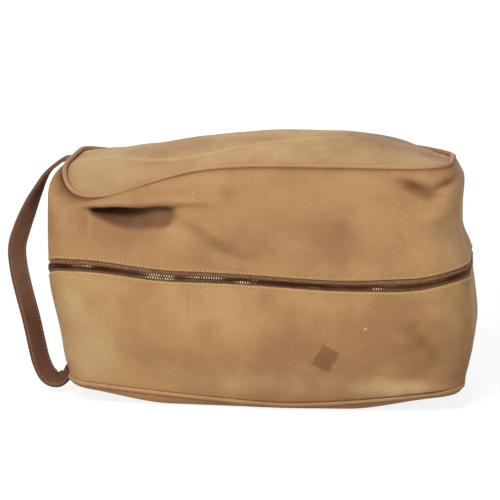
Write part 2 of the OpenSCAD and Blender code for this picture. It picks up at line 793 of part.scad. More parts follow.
// Tab: a flat tongue that swings on the link's lower bend
tab_hole = link_wire / 2 + 0.55;
tab_eye = tab_hole + 1.2;
tab_shoulder = 5;
tab_neck = tab_shoulder + 1;
module puller_tab() {
    color(brass) on_slider()
        translate([bar_offset, 0, -link_length - link_radius])
            along_chain(-tab_thickness / 2, tab_thickness)
                difference() {
                    union() {
                        circle(r = tab_eye, $fn = 48);
                        translate([-tab_eye, -tab_neck]) square([2 * tab_eye, tab_neck]);
                        translate([-tab_width / 2, tab_width / 2 - tab_length])
                            square([tab_width, tab_length - tab_width / 2 - tab_shoulder]);
                        translate([0, tab_width / 2 - tab_length])
                            circle(d = tab_width, $fn = 48);
                    }
                    circle(r = tab_hole, $fn = 48);
                }
}

// Strap: two layers of leather sewn together, from the top seam round to the base seam.
// Each place on its middle line is a share of its reach, of its lean and of the height between them.
strap_seat = 1.3;
strap_foot = strap_leather + strap_seat;
strap_head = strap_foot / strap_reach;
strap_places = [
    [strap_head, 0.162, 1.006], [0.11, 0.162, 1], [0.22, 0.162, 0.98], [0.42, 0.108, 0.931],
    [0.592, 0.054, 0.852], [0.745, -0.054, 0.768], [0.9, -0.162, 0.667], [1, -0.243, 0.574],
    [0.976, -0.351, 0.473], [0.886, -0.486, 0.362], [0.773, -0.622, 0.243], [0.684, -0.757, 0.132],
    [0.594, -0.892, 0.036], [0.464, -1, -0.027], [0.295, -0.973, -0.046], [0.157, -0.838, -0.027],
    [strap_head + 0.04, -0.73, -0.006]
];
strap_top = [top_inset_left - zip_half_length, strap_lean * strap_places[0].y];
strap_base = [base_inset_left - zip_half_length, 0];
strap_route = [for (p = strap_places) [
    mix(strap_base.x, strap_top.x, p.z) - strap_reach * p.x,
    strap_lean * p.y,
    mix(base_z(strap_base), top_z(strap_top), p.z)
]];
strap_turn = 55;
strap_steps = 3;
strap_count = (len(strap_route) - 1) * strap_steps;
strap_part_share = 0.46;
strap_part = round(strap_count * strap_part_share);
strap_cut = 0.3;
function route_at(k) = strap_route[min(max(k, 0), len(strap_route) - 1)];
function strap_middle(u) =
    let (
        k = min(floor(u), len(strap_route) - 2), f = u - k,
        a = route_at(k - 1), b = route_at(k), c = route_at(k + 1), d = route_at(k + 2)
    )
    b + 0.5 * f * (c - a + f * (2 * a - 5 * b + 4 * c - d + f * (3 * (b - c) + d - a)));
twist_start = 2.3;
twist_run = 4.3;
untwist_end = 0.4;
untwist_run = 3;
strap_look = 0.05;
function strap_twist(u) =
    let (last = len(strap_route) - 1)
    strap_turn * smooth((u - twist_start) / twist_run)
        * smooth((last - untwist_end - u) / untwist_run);
// A point of the strap: across its width by a, and out from its middle by b
function strap_point(u, a, b, shift) =
    let (
        forward = unit(strap_middle(u + strap_look) - strap_middle(max(u - strap_look, 0))),
        flat = unit([0, -1, 0] + forward * forward.y),
        face = cross(flat, forward),
        t = strap_twist(u),
        across = flat * cos(t) - face * sin(t),
        out = face * cos(t) + flat * sin(t)
    )
    strap_middle(u) + across * a + out * b + forward * shift;
function strap_u(k) = k / strap_steps;
module strap_layer(from, to, inner, outer) {
    rings = [for (k = [from : to])
        let (shift = k == strap_part ? (k == from ? strap_cut : -strap_cut) : 0)
        [for (q = [[-1, outer], [1, outer], [1, inner], [-1, inner]])
            strap_point(strap_u(k), q[0] * strap_width / 2, q[1], shift)]];
    count = len(rings);
    polyhedron([for (r = rings) each r], concat(
        [for (c = [0 : count - 2], k = [0 : 3])
            let (n = (k + 1) % 4, a = c * 4 + k, b = c * 4 + n)
            each k == 2 ? [[a, b, a + 4], [b, b + 4, a + 4]] : [[a, b, b + 4], [a, b + 4, a + 4]]],
        [[0, 2, 1], [0, 3, 2]],
        [[count * 4 - 4, count * 4 - 3, count * 4 - 2], [count * 4 - 4, count * 4 - 2, count * 4 - 1]]
    ));
}
strap_join = 0.05;
module upper_strap_face() {
    color(strap_brown) strap_layer(0, strap_part, strap_join, strap_join + strap_leather);
}
module upper_strap_backing() {
    color(strap_brown) strap_layer(0, strap_part, -strap_join - strap_leather, -strap_join);
}
module lower_strap_face() {
    color(strap_brown) strap_layer(strap_part, strap_count, strap_join, strap_join + strap_leather);
}
module lower_strap_backing() {
    color(strap_brown) strap_layer(strap_part, strap_count, -strap_join - strap_leather, -strap_join);
}

// Stitches along both edges of the strap's outer face
module strap_stitches(from, to) {
    for (side = [-1, 1]) {
        route = [for (k = [from : to])
            strap_point(strap_u(k), side * (strap_width / 2 - stitch_margin),
                strap_join + strap_leather - seat, 0)];
        t = tables(route);
        total = distances(route)[len(route) - 1];
        count = floor((total - 2 * stitch_pitch) / stitch_pitch);
        for (k = [0 : count - 1]) place(t, (k + 1.5) * stitch_pitch) stitch();
    }
}
module upper_strap_stitching() {
    color(ochre_thread) strap_stitches(0, strap_part);
}
strap_plain_places = 3;
module lower_strap_stitching() {
    color(ochre_thread)
        strap_stitches(strap_part, strap_count - strap_plain_places * strap_steps);
}

base_panel();
lower_wall();
lower_back();
lower_lining();
base_piping();
base_piping_cord();
lower_zip_tape();
lower_zip_teeth();
lower_zip_stitching();
zip_bottom_stop();
lower_top_stop();
lower_strap_face();
lower_strap_backing();
lower_strap_stitching();
slider_body();
slider_bridge();
puller_link();
puller_tab();
top_panel();
upper_wall();
upper_back();
upper_lining();
top_piping();
top_piping_cord();
upper_zip_tape();
upper_zip_teeth();
upper_zip_stitching();
upper_top_stop();
upper_strap_face();
upper_strap_backing();
upper_strap_stitching();
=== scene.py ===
"""Soft leather travel bag: its looks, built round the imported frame.
X runs to the right, Y to the back and Z up. Shapes are worked out in millimetres and stored in metres."""
import bpy
import math
import numpy as np
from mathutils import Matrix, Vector


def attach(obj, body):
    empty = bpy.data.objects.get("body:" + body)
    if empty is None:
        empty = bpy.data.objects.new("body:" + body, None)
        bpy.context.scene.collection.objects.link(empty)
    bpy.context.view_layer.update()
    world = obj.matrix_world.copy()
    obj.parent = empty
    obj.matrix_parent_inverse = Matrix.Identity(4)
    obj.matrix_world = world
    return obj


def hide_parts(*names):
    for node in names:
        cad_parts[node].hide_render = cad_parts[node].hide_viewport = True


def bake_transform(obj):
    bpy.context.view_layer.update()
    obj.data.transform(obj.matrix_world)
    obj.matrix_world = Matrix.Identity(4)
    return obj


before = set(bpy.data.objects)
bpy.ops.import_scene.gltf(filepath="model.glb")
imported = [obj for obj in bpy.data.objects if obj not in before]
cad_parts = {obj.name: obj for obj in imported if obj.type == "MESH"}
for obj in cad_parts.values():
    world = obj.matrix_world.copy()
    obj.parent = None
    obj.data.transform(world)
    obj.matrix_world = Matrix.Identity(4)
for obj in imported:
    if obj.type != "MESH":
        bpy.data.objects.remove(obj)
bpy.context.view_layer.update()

# Sizes, as in the CAD source (mm)
HALF_LENGTH, HALF_DEPTH, ZIP_HEIGHT = 217.0, 98.0, 140.0
BASE_IN_LEFT, BASE_IN_RIGHT, BASE_IN_DEPTH = 18.5, 8.0, 14.0
TOP_IN_LEFT, TOP_IN_RIGHT, TOP_IN_DEPTH = 10.0, 22.0, 10.0
FRONT_LEFT_R, FRONT_RIGHT_R, BACK_R, TOP_BACK_R = 32.0, 54.0, 46.0, 30.0
BASE_R, TOP_LEFT_R, TOP_RIGHT_R = 26.0, 56.0, 42.0
BASE_SEAM, LIFT_LEFT, LIFT_RIGHT, BASE_LOW = 5.5, 18.0, 26.0, 25.0
FLAT_LENGTH, FLAT_DEPTH, FLAT_R, LEAST_R = 125.0, 60.0, 20.0, 3.0
TOP_SEAM, SLUMP, DROOP, CROWN = 252.0, 36.0, 10.0, 22.0
ZIP_DIP, ZIP_RISE, ZIP_RISE_RIGHT, ZIP_IN_RIGHT = 6.2, 9.0, 4.5, 3.0
LEATHER, CLOTH, GAP = 1.8, 0.6, 0.25
PIPING, PIPING_LIFT = 2.1, 1.5
SEAM_GAP = PIPING + GAP
ZIP_OPEN, TAPE, TAPE_OVERLAP, CHAIN_DEPTH = 13.0, 0.8, 9.0, 0.9
PITCH, CHAIN_DROP = 2.54, 1.2
STITCH_PITCH, STITCH, THREAD, STITCH_MARGIN = 3.9, 2.7, 0.95, 2.4
SLIDER_LENGTH, TUCK, STOP = 14.0, 4.0, 3.0
STRAIGHT_END = HALF_DEPTH - BACK_R
SLIDER_Y = STRAIGHT_END - TUCK - 1 - SLIDER_LENGTH / 2

# Small helpers
def smooth(t):
    t = np.clip(t, 0, 1)
    return t * t * (3 - 2 * t)


def bump(x, middle, spread):
    return np.exp(-(((x - middle) / spread) ** 2))


def mix(a, b, t):
    return a + (b - a) * t


def unit(v):
    return v / np.maximum(np.linalg.norm(v, axis=-1, keepdims=True), 1e-9)


LATTICE = np.random.RandomState(11).rand(32, 32, 32)


def noise(p, size, seed=0.0):
    """Smooth noise from -1 to 1 with lumps of a size in mm."""
    q = p / size + np.array([seed * 7.31, seed * 3.17, seed * 5.71])
    i = np.floor(q).astype(int)
    f = q - i
    f = f * f * (3 - 2 * f)
    total = np.zeros(p.shape[:-1])
    for k in range(8):
        d = np.array([k & 1, k >> 1 & 1, k >> 2 & 1])
        w = np.prod(np.where(d == 1, f, 1 - f), axis=-1)
        j = (i + d) % 32
        total += w * LATTICE[j[..., 0], j[..., 1], j[..., 2]]
    return 2 * total - 1


def line_distance(x, y, points):
    """Distance from (x, y) to a polyline."""
    best = np.full(np.shape(x), 1e9)
    for (ax, ay), (bx, by) in zip(points[:-1], points[1:]):
        dx, dy = bx - ax, by - ay
        t = np.clip(((x - ax) * dx + (y - ay) * dy) / (dx * dx + dy * dy), 0, 1)
        best = np.minimum(best, np.hypot(x - ax - t * dx, y - ay - t * dy))
    return best


# Outline: stations [x, y, outward x, outward y] from the middle of the back by way of the left end
N_BACK, N_CORNER, N_SIDE, N_FRONT = 30, 24, 30, 150
STATIONS = 2 * N_BACK + 4 * N_CORNER + 2 * N_SIDE + N_FRONT
FIRST, LAST = N_BACK, STATIONS - N_BACK
WALL = np.arange(FIRST, LAST + 1)


def line_stations(a, b, n, out):
    t = np.arange(n)[:, None] / n
    return np.hstack([mix(np.array(a), np.array(b), t), np.tile(out, (n, 1))])


def arc_stations(cx, cy, r, start, end, n):
    t = np.radians(mix(start, end, np.arange(n) / n))
    return np.column_stack([cx + r * np.cos(t), cy + r * np.sin(t), np.cos(t), np.sin(t)])


def outline(left, right, depth, r_left, r_right, r_back, r_back_left):
    return np.vstack([
        line_stations((0, depth), (r_back_left - left, depth), N_BACK, (0, 1)),
        arc_stations(r_back_left - left, depth - r_back_left, r_back_left, 90, 180, N_CORNER),
        line_stations((-left, depth - r_back_left), (-left, r_left - depth), N_SIDE, (-1, 0)),
        arc_stations(r_left - left, r_left - depth, r_left, 180, 270, N_CORNER),
        line_stations((r_left - left, -depth), (right - r_right, -depth), N_FRONT, (0, -1)),
        arc_stations(right - r_right, r_right - depth, r_right, 270, 360, N_CORNER),
        line_stations((right, r_right - depth), (right, depth - r_back), N_SIDE, (1, 0)),
        arc_stations(right - r_back, depth - r_back, r_back, 0, 90, N_CORNER),
        line_stations((right - r_back, depth), (0, depth), N_BACK, (0, 1)),
    ])


def base_outline(d):
    corner, back = max(BASE_R - d, LEAST_R), max(BACK_R - d, LEAST_R)
    return outline(HALF_LENGTH - BASE_IN_LEFT - d, HALF_LENGTH - BASE_IN_RIGHT - d,
                   HALF_DEPTH - BASE_IN_DEPTH - d, corner, corner, back, back)


def top_outline(d):
    return outline(HALF_LENGTH - TOP_IN_LEFT - d, HALF_LENGTH - TOP_IN_RIGHT - d,
                   HALF_DEPTH - TOP_IN_DEPTH - d, TOP_LEFT_R - d, TOP_RIGHT_R - d, BACK_R - d, TOP_BACK_R - d)


ZIP_RIM = outline(HALF_LENGTH, HALF_LENGTH - ZIP_IN_RIGHT, HALF_DEPTH, FRONT_LEFT_R, FRONT_RIGHT_R,
                  BACK_R, BACK_R)
BASE_RIM = base_outline(0)
TOP_RIM = top_outline(0)
OUT = unit(ZIP_RIM[:, 2:] + BASE_RIM[:, 2:])


def base_z(p):
    away = (p[..., 0] - BASE_LOW) / HALF_LENGTH
    return BASE_SEAM + np.where(away < 0, LIFT_LEFT * np.abs(away) ** 1.3, LIFT_RIGHT * np.abs(away) ** 1.55)


def zip_z(p):
    x, y = p[..., 0], p[..., 1]
    front = smooth((-y - HALF_DEPTH + 45) / 45)
    left = ZIP_RISE * smooth((-x - 80) / 105) * smooth((-y - 64) / 34)
    right = ZIP_RISE_RIGHT * smooth((x - 150) / 60) * smooth((20 - y) / 60)
    return ZIP_HEIGHT + left + right - front * ZIP_DIP * bump(x, 90, 95)


def top_z(p):
    x, y = p[..., 0], p[..., 1]
    ahead = smooth((-y - 15) / 65)
    slump = SLUMP * bump(x, 65 - 22 * ahead - HALF_LENGTH, 85) * mix(0.48, 1, ahead)
    return TOP_SEAM - slump - DROOP * bump(x, HALF_LENGTH - 22, 70) * smooth((y + 20) / 80)


Z_BASE, Z_ZIP, Z_TOP = base_z(BASE_RIM), zip_z(ZIP_RIM), top_z(TOP_RIM)
# Half the gap between the two leathers: nearly shut at the back, and a little narrower along the front
SLIT_SHUT, SLIT_EASE, SLIT_NARROWER = 0.3, 14.0, 1.3
SLIT = mix(SLIT_SHUT, ZIP_OPEN / 2, smooth((STRAIGHT_END + SLIT_EASE - ZIP_RIM[:, 1]) / SLIT_EASE))
SLIT = SLIT - (smooth(-ZIP_RIM[:, 3]) * SLIT_NARROWER * (1 - 0.8 * bump(ZIP_RIM[:, 0], 145, 30))
               * bump(ZIP_RIM[:, 0], 20, 190))

# Walls: a face for each half, with the station along the first axis and the height along the second
def lower_face(v):
    m, b = ZIP_RIM[:, None], BASE_RIM[:, None]
    c = np.clip(v, 0, 1)
    along = m[..., 0] / HALF_LENGTH
    left = smooth((-along - 0.7) / 0.3)
    w = np.sin(np.pi / 2 * c) ** (0.75 - 0.35 * along + 1.2 * left)
    out = unit(mix(b[..., 2:], m[..., 2:], w[..., None]))
    belly = mix(3.0, 0.6, left) * np.sin(np.pi * c) ** 2
    xy = mix(b[..., :2], m[..., :2], w[..., None]) + out * belly[..., None]
    return np.dstack([xy, mix(Z_BASE[:, None], Z_ZIP[:, None], v)])


def upper_face(v):
    m, t = ZIP_RIM[:, None], TOP_RIM[:, None]
    lean = np.maximum(0, 0.25 + 0.3 * m[..., 0] / HALF_LENGTH)
    roll = 12 - 4 * m[..., 0] / HALF_LENGTH
    c = np.clip(v, 0, 1)
    w = lean * smooth(c / 0.38) + (1 - lean) * c ** roll
    out = unit(mix(m[..., 2:], t[..., 2:], w[..., None]))
    z = mix(Z_ZIP[:, None], Z_TOP[:, None], v)
    pressed = hollow(m[..., 0], z) * smooth(-out[..., 1])
    xy = mix(m[..., :2], t[..., :2], w[..., None]) - out * pressed[..., None]
    return np.dstack([xy, z])


# The dent's lip: its height and how far it stands out; and the dent's depth and height at its two ends
LIP_Z, LIP_PROUD = 210.5, 3.4
DENT_DEEP, DENT_SHALLOWER, DENT_LOW, DENT_TALLER = 21.0, 13.5, 4.0, 16.5


def hollow(x, z):
    """The dent under the slumped corner: a lip overhangs it, and to the right it is taller and shallower."""
    top = LIP_Z - 1.5 * smooth((-140 - x) / 30) + 2.5 * smooth((x + 122) / 24)
    under, tall = top - z, hollow_height(x)
    along = smooth((x + 174) / 12) * (1 - smooth((x + 92 + 6 * (under / tall - 0.45) ** 2) / 13))
    deep = smooth(under / 2.6) * (1 - smooth((under / tall - 0.12) / 0.98)) ** 0.9
    lip = bump(under, -4.0, 4.5) * smooth((x + 205) / 30) * (1 - smooth((x + 75) / 40))
    return (DENT_DEEP - DENT_SHALLOWER * smooth((x + 148) / 46)) * along * deep - LIP_PROUD * lip


def hollow_height(x):
    return DENT_LOW + DENT_TALLER * smooth((x + 172) / 46) ** 0.7


def hollow_shade(x, z):
    """Painted shade in the dent, from 0 to 1: deepest under the lip, fading towards its foot and its right
    end.
    """
    share = (LIP_Z + 1.5 * smooth((x + 122) / 24) - z) / (hollow_height(x) + 4)
    along = smooth((x + 172) / 7) * (1 - smooth((x + 88 + 40 * (share - 0.45) ** 2) / 12))
    fade = mix(1.0, 0.88, smooth((x + 138) / 34))
    return along * fade * smooth((share + 0.06) / 0.14) * (1 - smooth((share - 0.76) / 0.34))


HEIGHT = {"lower": Z_ZIP - Z_BASE, "upper": Z_TOP - Z_ZIP}
FACE = {"lower": lower_face, "upper": upper_face}


def rim_v(half, d):
    """Share of a half's height that lies a distance from the middle of the zip."""
    part = d / (HEIGHT[half][:, None] if np.ndim(d) == 2 else HEIGHT[half])
    return 1 - part if half == "lower" else part


def seam_v(half, d):
    """Share of a half's height that lies a distance from its other seam."""
    part = d / HEIGHT[half]
    return part if half == "lower" else 1 - part


def from_zip(half, v):
    """Distance from the middle of the zip, at shares of a half's height."""
    return (1 - v if half == "lower" else v) * HEIGHT[half][:, None]


def from_seam(half, v):
    """Distance from a half's other seam, at shares of its height."""
    return (v if half == "lower" else 1 - v) * HEIGHT[half][:, None]


def skin(half, v, depth=0.0):
    """The face of a half, sunk by a depth square to the leather."""
    v = v if np.ndim(v) == 2 else np.asarray(v)[:, None]
    a, b = FACE[half](np.maximum(v - 0.01, 0)), FACE[half](np.minimum(v + 0.01, 1))
    run = ((b - a)[..., :2] * OUT[:, None]).sum(-1)
    rise = (b - a)[..., 2]
    way = unit(np.dstack([-OUT[:, None, 0] * rise, -OUT[:, None, 1] * rise, run]))
    return FACE[half](v) + way * np.broadcast_to(depth, v.shape)[..., None]


# Soft forms in the leather: a line in x and z over the front, how deep it is pressed in and its width
LOWER_FORMS = [
    ([(-190, 122), (-160, 96), (-142, 60)], 1.3, 13),
    ([(-70, 132), (-70, 92)], 0.35, 5),
    ([(-40, 30), (-10, 62), (10, 110)], 0.9, 16),
    ([(120, 36), (150, 70), (168, 112)], 1.5, 14),
    ([(150, 28), (185, 52)], 1.2, 10),
    ([(80, 118), (120, 100)], -0.9, 14),
    ([(-110, 45), (-60, 36)], -1.1, 13),
]
UPPER_FORMS = [
    ([(-84, 196), (-56, 178), (-34, 163), (-14, 150)], 3.6, 9),
    ([(-64, 198), (-34, 184), (0, 172)], -2.0, 13),
    ([(145, 241), (153, 238), (162, 232), (171, 227), (179, 222)], 6.4, 6.4),
    ([(-204, 246), (-195, 228), (-186, 216)], 9.0, 5.0),
    ([(150, 249), (168, 244), (186, 236)], -2.4, 6),
    ([(184, 233), (194, 237), (203, 243)], 4.2, 5.5),
    ([(176, 203), (190, 208)], -1.8, 7),
    ([(150, 208), (176, 200)], -1.4, 12),
    ([(60, 214), (100, 190), (130, 160)], -1.3, 18),
    ([(20, 240), (60, 226), (100, 224)], 0.8, 12),
    ([(-190, 215), (-184, 190), (-188, 165)], 1.0, 9),
]


def relief(half, v):
    """How far the leather stands out from its plain face, with nothing at its edges."""
    p = FACE[half](v)
    front = smooth(-OUT[:, None, 1] * 1.4)
    total = 1.1 * noise(p, 78, 1) + 0.45 * noise(p, 31, 2) + 0.16 * noise(p, 13, 3)
    if half == "lower":
        total += 3.6 * smooth((p[..., 0] - 165) / 45) * bump(p[..., 2], 66, 34)
        total += 3.4 * smooth((-p[..., 0] - 172) / 32) * bump(p[..., 2], 50, 22)
    else:
        total += 2.6 * smooth((p[..., 0] - 165) / 35) * bump(p[..., 2], 226, 17)
    for points, deep, wide in (LOWER_FORMS if half == "lower" else UPPER_FORMS):
        total -= front * deep * bump(line_distance(p[..., 0], p[..., 2], points), 0, wide)
    return total * smooth((from_zip(half, v) - 10) / 16) * smooth((from_seam(half, v) - 3) / 16)


def soil(half, v):
    """Wear near the leather's edges, with painted shade in a narrow line along the seam, from 0 to 1.5."""
    at_zip = np.maximum(from_zip(half, v) - SLIT[:, None], 0)
    at_seam = from_seam(half, v)
    # The narrow bump along the seam is painted shade by the piping; the broader fall-off is wear
    seam_wear = 0.7 * np.exp(-at_seam / 5.0) + bump(at_seam, 0, 2.0)
    return np.maximum(0.75 * np.exp(-at_zip / 1.6), np.minimum(seam_wear, 1.5))


# Meshes
def put(name, data):
    thing = bpy.data.objects.new(name, data)
    bpy.context.scene.collection.objects.link(thing)
    return thing


def make(name, points, faces, material, **attributes):
    mesh = bpy.data.meshes.new(name)
    mesh.from_pydata((np.asarray(points) / 1000).tolist(), [], [list(map(int, f)) for f in faces])
    mesh.validate()
    mesh.materials.append(material)
    for key, values in attributes.items():
        data = mesh.attributes.new(key, "FLOAT", "POINT").data
        data.foreach_set("value", np.asarray(values, np.float32).ravel())
    mesh.polygons.foreach_set("use_smooth", [True] * len(mesh.polygons))
    return put(name, mesh)


def grid_faces(columns, rows, round_columns=False, round_rows=True):
    c = np.arange(columns if round_columns else columns - 1)[:, None]
    r = np.arange(rows if round_rows else rows - 1)[None]
    c2, r2 = (c + 1) % columns, (r + 1) % rows
    quads = np.stack(np.broadcast_arrays(c * rows + r, c2 * rows + r, c2 * rows + r2, c * rows + r2), -1)
    return quads.reshape(-1, 4).tolist()


def ring_ends(count, sides):
    """The two faces that cap a run of rings."""
    last = (count - 1) * sides
    return [list(range(sides)), [last + k for k in range(sides - 1, -1, -1)]]


def sheet_ends(count, rows, quads, rim=()):
    """Faces that close both ends of a doubled sheet: quads between its layers, then its rounded rim."""
    faces = []
    for c, flip in ((0, False), (count - 1, True)):
        first, last = c * rows, c * rows + rows - 1
        cap = [[first + k, first + k + 1, last - 1 - k, last - k] for k in range(quads)]
        if rim:
            cap.append([first + k for k in rim])
        faces += [f[::-1] if flip else f for f in cap]
    return faces


def tube(name, rings, material, closed=True, **attributes):
    """Rings of points (count, sides, 3), joined one to the next; open ends are capped."""
    count, sides = rings.shape[:2]
    faces = grid_faces(count, sides, closed)
    if not closed:
        faces += ring_ends(count, sides)
    return make(name, rings.reshape(-1, 3), faces, material, **attributes)


# Soft patches on the front, partly the leather's own tone and partly painted shade and painted light in its
# folds, under the corners and at the ends: x, z, reach along and across, and how much darker (or, below 0,
# paler) they are
LOWER_TONES = [
    (168, 80, 26, 34, 0.60), (138, 62, 20, 24, 0.12), (30, 34, 70, 14, -0.30), (-172, 66, 40, 56, -0.55),
    (-192, 112, 16, 18, -0.40), (0, 104, 80, 26, 0.08), (-96, 96, 26, 22, 0.12), (-30, 62, 40, 24, 0.10),
    (150, 28, 44, 12, -0.9), (-20, 26, 90, 12, -0.22),
]
UPPER_TONES = [
    (-199, 229, 12, 24, 0.50), (-170, 196, 20, 12, 0.30), (-128, 178, 44, 14, 0.34), (-60, 158, 30, 12, 0.28),
    (-28, 226, 16, 12, 0.30), (150, 236, 11, 6, 0.50), (161, 231, 10, 7, 0.48), (172, 225, 9, 6, 0.48),
    (190, 238, 12, 7, 0.75), (64, 190, 40, 30, 0.26), (122, 170, 40, 22, 0.16), (-168, 192, 2.0, 9, -0.45),
    (206, 190, 20, 56, -0.75), (-196, 196, 10, 28, -0.55), (-76, 184, 16, 16, -0.20), (-44, 172, 18, 9, 0.30),
    (0, 190, 46, 34, 0.22),
]


# Tone patches: partly the leather's own tone, partly painted shade and painted light
def tone(half, p):
    total = np.zeros(p.shape[:-1])
    for x, z, along, across, amount in (LOWER_TONES if half == "lower" else UPPER_TONES):
        total += amount * bump(p[..., 0], x, along) * bump(p[..., 2], z, across)
    return total * (1 + 0.35 * noise(p, 14, 13)) * smooth((10 - p[..., 1]) / 60)


# What a wall's margin says on its rim and on its inside (mm)
RIM_MARGIN, INSIDE_MARGIN = 0.6, 60.0


def wall(name, half, material):
    """One leather band with its thickness, its rounded edge at the zip and its forms."""
    r = LEATHER / 2
    shares = np.concatenate([np.linspace(0, 0.1, 9)[:-1], np.linspace(0.1, 0.9, 72)[:-1],
                             np.linspace(0.9, 1, 10)])
    edge, seam = rim_v(half, SLIT + r), seam_v(half, SEAM_GAP if half == "lower" else 0)
    v = mix(seam[:, None], edge[:, None], shares[None])
    rise = relief(half, v)
    turn = np.radians(np.arange(22.5, 180, 22.5))
    rim = rim_v(half, SLIT[:, None] + r - r * np.sin(turn))
    rim_depth = np.tile(r * (1 - np.cos(turn)), (STATIONS, 1))
    grid = np.hstack([skin(half, v, -rise), skin(half, rim, rim_depth),
                      skin(half, v[:, ::-1], LEATHER - rise[:, ::-1])])
    worn = np.hstack([soil(half, v), np.ones_like(rim), soil(half, v[:, ::-1])])
    from_edge = from_zip(half, v) - SLIT[:, None] + 1
    margin = np.hstack([from_edge, np.full_like(rim, RIM_MARGIN), np.full_like(v, INSIDE_MARGIN)])
    grid, worn, margin = grid[WALL], worn[WALL], margin[WALL]
    count, rows = grid.shape[:2]
    n, a = len(shares), len(turn)
    faces = grid_faces(count, rows) + sheet_ends(count, rows, n - 1, range(n - 1, n + a + 1))
    dark = np.zeros_like(worn)
    if half == "upper":
        faces = [f[::-1] for f in faces]
        # Painted shade in the dent, on the front only
        dark = hollow_shade(grid[..., 0], grid[..., 2]) * (grid[..., 1] < -20)
    return make(name, grid.reshape(-1, 3), faces, material, soil=worn, margin=margin, grime=dark,
                tone=tone(half, grid))


def panel(name, outside, inside, material, face_up, **attributes):
    """A sheet from rings of points (rows, stations, 3), rim first, closed along its middle."""
    rows = len(outside)
    both = np.concatenate([outside[::-1], inside]).transpose(1, 0, 2)
    faces = grid_faces(STATIONS, 2 * rows, True, False)
    left = N_BACK + N_CORNER + N_SIDE // 2
    right = STATIONS - left
    ahead = list(range(left, right + 1))
    round_back = [left - k for k in range(left + 1)] + [STATIONS - k for k in range(1, left + 1)]
    steps = len(ahead) - 1
    behind = [round_back[round(k * (len(round_back) - 1) / steps)] % STATIONS for k in range(steps + 1)]
    for row, flip in ((0, True), (2 * rows - 1, False)):
        for k in range(steps):
            quad = [ahead[k], ahead[k + 1], behind[k + 1], behind[k]]
            quad = [q for i, q in enumerate(quad) if q not in quad[:i]]
            if len(quad) > 2:
                quad = [q * 2 * rows + row for q in quad]
                faces.append(quad[::-1] if flip else quad)
    if face_up:
        faces = [f[::-1] for f in faces]
    return make(name, both.reshape(-1, 3), faces, material, **attributes)


# Materials
class Nodes:
    """A short way to write the nodes of a material or a world."""

    def __init__(self, name, kind="materials"):
        self.owner = getattr(bpy.data, kind).new(name)
        self.owner.use_nodes = True
        self.tree = self.owner.node_tree
        self.tree.nodes.clear()
        self.coords = self.add("TexCoord").outputs["Object"]

    def add(self, kind, inputs=None, **settings):
        node = self.tree.nodes.new("ShaderNode" + kind)
        for key, value in settings.items():
            setattr(node, key, value)
        for key, value in (inputs or {}).items():
            socket = node.inputs[key]
            if isinstance(value, bpy.types.NodeSocket):
                self.tree.links.new(value, socket)
            else:
                socket.default_value = value
        return node

    def math(self, operation, a, b=0.0, clamp=False):
        return self.add("Math", {0: a, 1: b}, operation=operation, use_clamp=clamp).outputs[0]

    def times(self, a, b, clamp=False):
        return self.math("MULTIPLY", a, b, clamp)

    def minus(self, a, b):
        return self.math("SUBTRACT", a, b)

    def noise(self, scale, detail=3.0, roughness=0.55, vector=None):
        inputs = {"Vector": vector or self.coords, "Scale": scale, "Detail": detail, "Roughness": roughness}
        return self.add("TexNoise", inputs).outputs[0]

    def span(self, value, low, high, to_low=0.0, to_high=1.0):
        return self.add("MapRange", {0: value, 1: low, 2: high, 3: to_low, 4: to_high},
                        interpolation_type="SMOOTHSTEP").outputs[0]

    def blend(self, share, a, b, how="MIX"):
        first, second = ((*c, 1.0) if isinstance(c, tuple) else c for c in (a, b))
        inputs = {0: share, 6: first, 7: second}
        return self.add("Mix", inputs, data_type="RGBA", blend_type=how).outputs[2]

    def attribute(self, name):
        return self.add("Attribute", attribute_name=name).outputs["Fac"]

    def bump(self, height, distance, strength=1.0, normal=None):
        inputs = {"Height": height, "Distance": distance, "Strength": strength}
        if normal:
            inputs["Normal"] = normal
        return self.add("Bump", inputs).outputs[0]

    def surface(self, **sockets):
        shader = self.add("BsdfPrincipled", {k.replace("_", " "): v for k, v in sockets.items()})
        self.add("OutputMaterial", {0: shader.outputs[0]})
        return self.owner


def stretched(n, x, y, z):
    return n.add("Mapping", {"Vector": n.coords, "Scale": (x, y, z)}).outputs[0]


# Colours that multiply the leather for wear with painted shade, for tone with painted shade and for painted
# shade in the dent; then those of the painted highlight on the edge at the zip and of the painted shade in
# the sewn line
SOILED, HANDLED, GRIMY = (0.50, 0.38, 0.33), (0.42, 0.30, 0.27), (0.35, 0.28, 0.28)
PALE_EDGE, SEWN_LINE = (0.60, 0.41, 0.17), (0.27, 0.15, 0.06)


